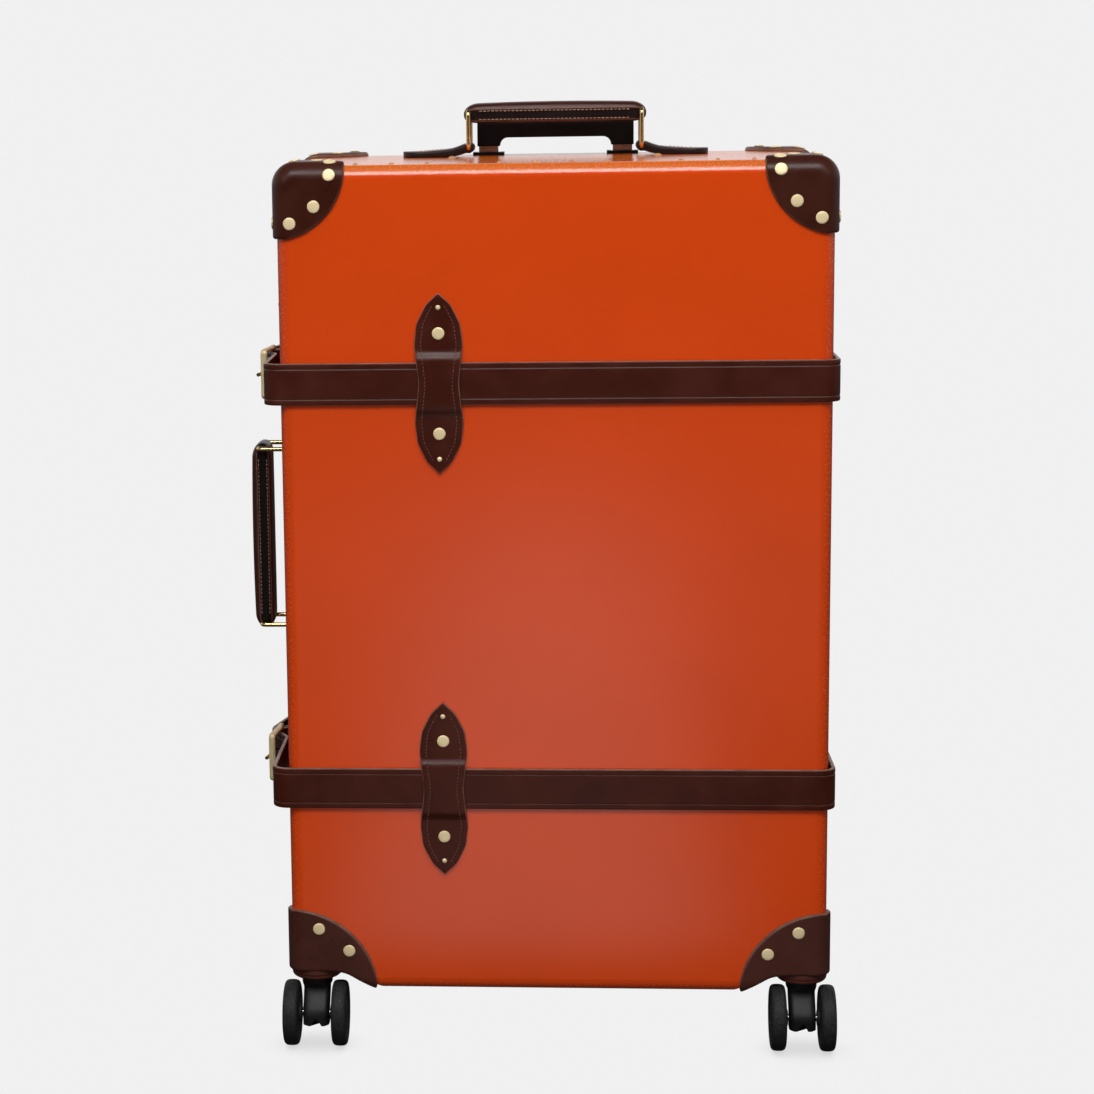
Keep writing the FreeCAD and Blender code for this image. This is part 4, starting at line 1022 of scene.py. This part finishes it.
def markFacing(mesh):
    # the way each face corner looks, as an attribute that the paint reads
    facing = np.empty(3 * len(mesh.loops), np.float32)
    mesh.corner_normals.foreach_get("vector", facing)
    mesh.attributes.new("facing", "FLOAT_VECTOR", "CORNER").data.foreach_set("vector", facing)


# CAD nodes that stay: a material of this script for each one's slot
for part in frame["record"]["subparts"]:
    piece = nodes[part["node"]]
    if part["material_slot"] == "painted_board":
        markFacing(piece.data)
    for slot in piece.material_slots:
        slot.material = looks[part["material_slot"]]
for slot in nodes["front_studs"].material_slots:
    slot.material = looks["nailBrass"]
print("frame nodes have their finishes")


# stage: pale floor and backdrop, flat grey to the camera; what the object reflects and takes light from is a
# studio with a bright strip of floor in front and a dark room behind the camera
stage = {"grey": 0.875, "floorSize": 30.0, "roomDark": 0.015, "roomBright": 0.60, "shadowReach": 0.05,
         "shadowDark": 0.72, "stripMiddle": -0.03, "stripHalf": (0.08, 0.30), "stripEnd": (-4.2, -2.0),
         "stripNear": (-0.50, -0.28), "floorDim": 0.06, "floorBright": 0.75, "roomEdge": (-0.75, -0.1),
         "ceilingEdge": (0.3, 0.7), "ceiling": 0.05}


def makeFloor():
    # the floor glows at the background's grey and darkens under the object; other rays see the strip
    size = stage["floorSize"] / 2
    mesh = bpy.data.meshes.new("floor")
    corners = [(-size, -size, 0), (size, -size, 0), (size, size, 0), (-size, size, 0)]
    mesh.from_pydata(corners, [], [(0, 1, 2, 3)])
    floor = bpy.data.objects.new("floor", mesh)
    bpy.context.scene.collection.objects.link(floor)
    material = bpy.data.materials.new("paleFloor")
    material.use_nodes = True
    tree = material.node_tree
    tree.nodes.remove(tree.nodes["Principled BSDF"])
    cover = tree.nodes.new("ShaderNodeAmbientOcclusion")
    cover.inputs["Distance"].default_value = stage["shadowReach"]
    shade = addRange(tree, cover.outputs["AO"], 0.0, 0.85, stage["shadowDark"], 1.0)
    place = tree.nodes.new("ShaderNodeSeparateXYZ")
    tree.links.new(tree.nodes.new("ShaderNodeTexCoord").outputs["Object"], place.inputs[0])
    offMiddle = addMath(tree, "SUBTRACT", place.outputs["X"], stage["stripMiddle"])
    offMiddle = addMath(tree, "ABSOLUTE", offMiddle)
    across = addRange(tree, offMiddle, *stage["stripHalf"], 1.0, 0.0)
    far = addRange(tree, place.outputs["Y"], *stage["stripEnd"])
    near = addRange(tree, place.outputs["Y"], *stage["stripNear"], 1.0, 0.0)
    strip = addMath(tree, "MULTIPLY", across, addMath(tree, "MULTIPLY", far, near))
    strip = addRange(tree, strip, 0.0, 1.0, stage["floorDim"], stage["floorBright"])
    seen = tree.nodes.new("ShaderNodeLightPath").outputs["Is Camera Ray"]
    level = addMath(tree, "MULTIPLY", shade, addMath(tree, "MAXIMUM", strip, seen))
    glow = tree.nodes.new("ShaderNodeEmission")
    tree.links.new(addMath(tree, "MULTIPLY", level, stage["grey"]), glow.inputs["Strength"])
    tree.links.new(glow.outputs["Emission"], tree.nodes["Material Output"].inputs["Surface"])
    mesh.materials.append(material)


def makeWorld():
    # the backdrop's grey to the camera and in reflections; towards -Y the room is dark to all but the camera
    world = bpy.data.worlds.new("studio")
    bpy.context.scene.world = world
    world.use_nodes = True
    tree = world.node_tree
    back = tree.nodes["Background"]
    back.inputs["Color"].default_value = (1, 1, 1, 1)
    way = tree.nodes.new("ShaderNodeSeparateXYZ")
    tree.links.new(tree.nodes.new("ShaderNodeTexCoord").outputs["Generated"], way.inputs[0])
    room = addRange(tree, way.outputs["Y"], *stage["roomEdge"], stage["roomDark"], 1.0)
    ceiling = addRange(tree, way.outputs["Z"], *stage["ceilingEdge"], 1.0, stage["ceiling"])
    room = addMath(tree, "MULTIPLY", room, ceiling)
    path = tree.nodes.new("ShaderNodeLightPath")
    mirrored = addMath(tree, "MAXIMUM", path.outputs["Is Glossy Ray"], path.outputs["Is Transmission Ray"])
    level = addRange(tree, mirrored, 0.0, 1.0, stage["roomBright"], stage["grey"])
    lit = addMath(tree, "MULTIPLY", level, room)
    camera = addMath(tree, "MULTIPLY", path.outputs["Is Camera Ray"], stage["grey"])
    tree.links.new(addMath(tree, "MAXIMUM", lit, camera), back.inputs["Strength"])


def addLamp(name, place, target, size, power, mirrored=True):
    lamp = bpy.data.lights.new(name, "AREA")
    lamp.shape = "RECTANGLE"
    lamp.size, lamp.size_y = size
    lamp.energy = power
    thing = bpy.data.objects.new(name, lamp)
    thing.location = place
    thing.rotation_euler = (Vector(target) - Vector(place)).to_track_quat("-Z", "Y").to_euler()
    thing.visible_glossy = mirrored
    bpy.context.scene.collection.objects.link(thing)


makeFloor()
makeWorld()
addLamp("keyLeft", (-1.5, -2.1, 1.8), (0, 0, 0.45), (1.2, 1.4), 10)
addLamp("keyRight", (1.5, -2.1, 1.8), (0, 0, 0.45), (1.2, 1.4), 8)
addLamp("overhead", (0.0, -0.25, 2.0), (0, -0.249, 0.7), (1.7, 0.9), 13, False)
addLamp("lowFill", (0.0, -1.3, 0.16), (0, 0, 0.16), (1.4, 0.25), 2.6, False)
addLamp("softBox", (0.0, -1.7, 2.3), (0, 0, 0.5), (1.9, 0.8), 56)
print("stage and lamps set")


# camera, solved from the photo's edges
view = {"place": (0.0181, -2.2866, 0.8333), "yaw": -4.438, "pitch": 9.493, "roll": 0.942,
        "lens": 85.56, "shift": (0.1547, -0.0324)}


def makeCamera():
    data = bpy.data.cameras.new("camera")
    data.sensor_width = 36
    data.lens = view["lens"]
    data.shift_x, data.shift_y = view["shift"]
    camera = bpy.data.objects.new("camera", data)
    yaw, pitch, roll = (math.radians(view[key]) for key in ("yaw", "pitch", "roll"))
    forward = Vector((math.sin(yaw) * math.cos(pitch), math.cos(yaw) * math.cos(pitch), -math.sin(pitch)))
    turn = forward.to_track_quat("-Z", "Y").to_matrix().to_4x4()
    camera.matrix_world = Matrix.Translation(view["place"]) @ turn @ Matrix.Rotation(-roll, 4, "Z")
    bpy.context.scene.collection.objects.link(camera)
    bpy.context.scene.camera = camera


makeCamera()
bpy.context.scene.view_settings.view_transform = "Standard"
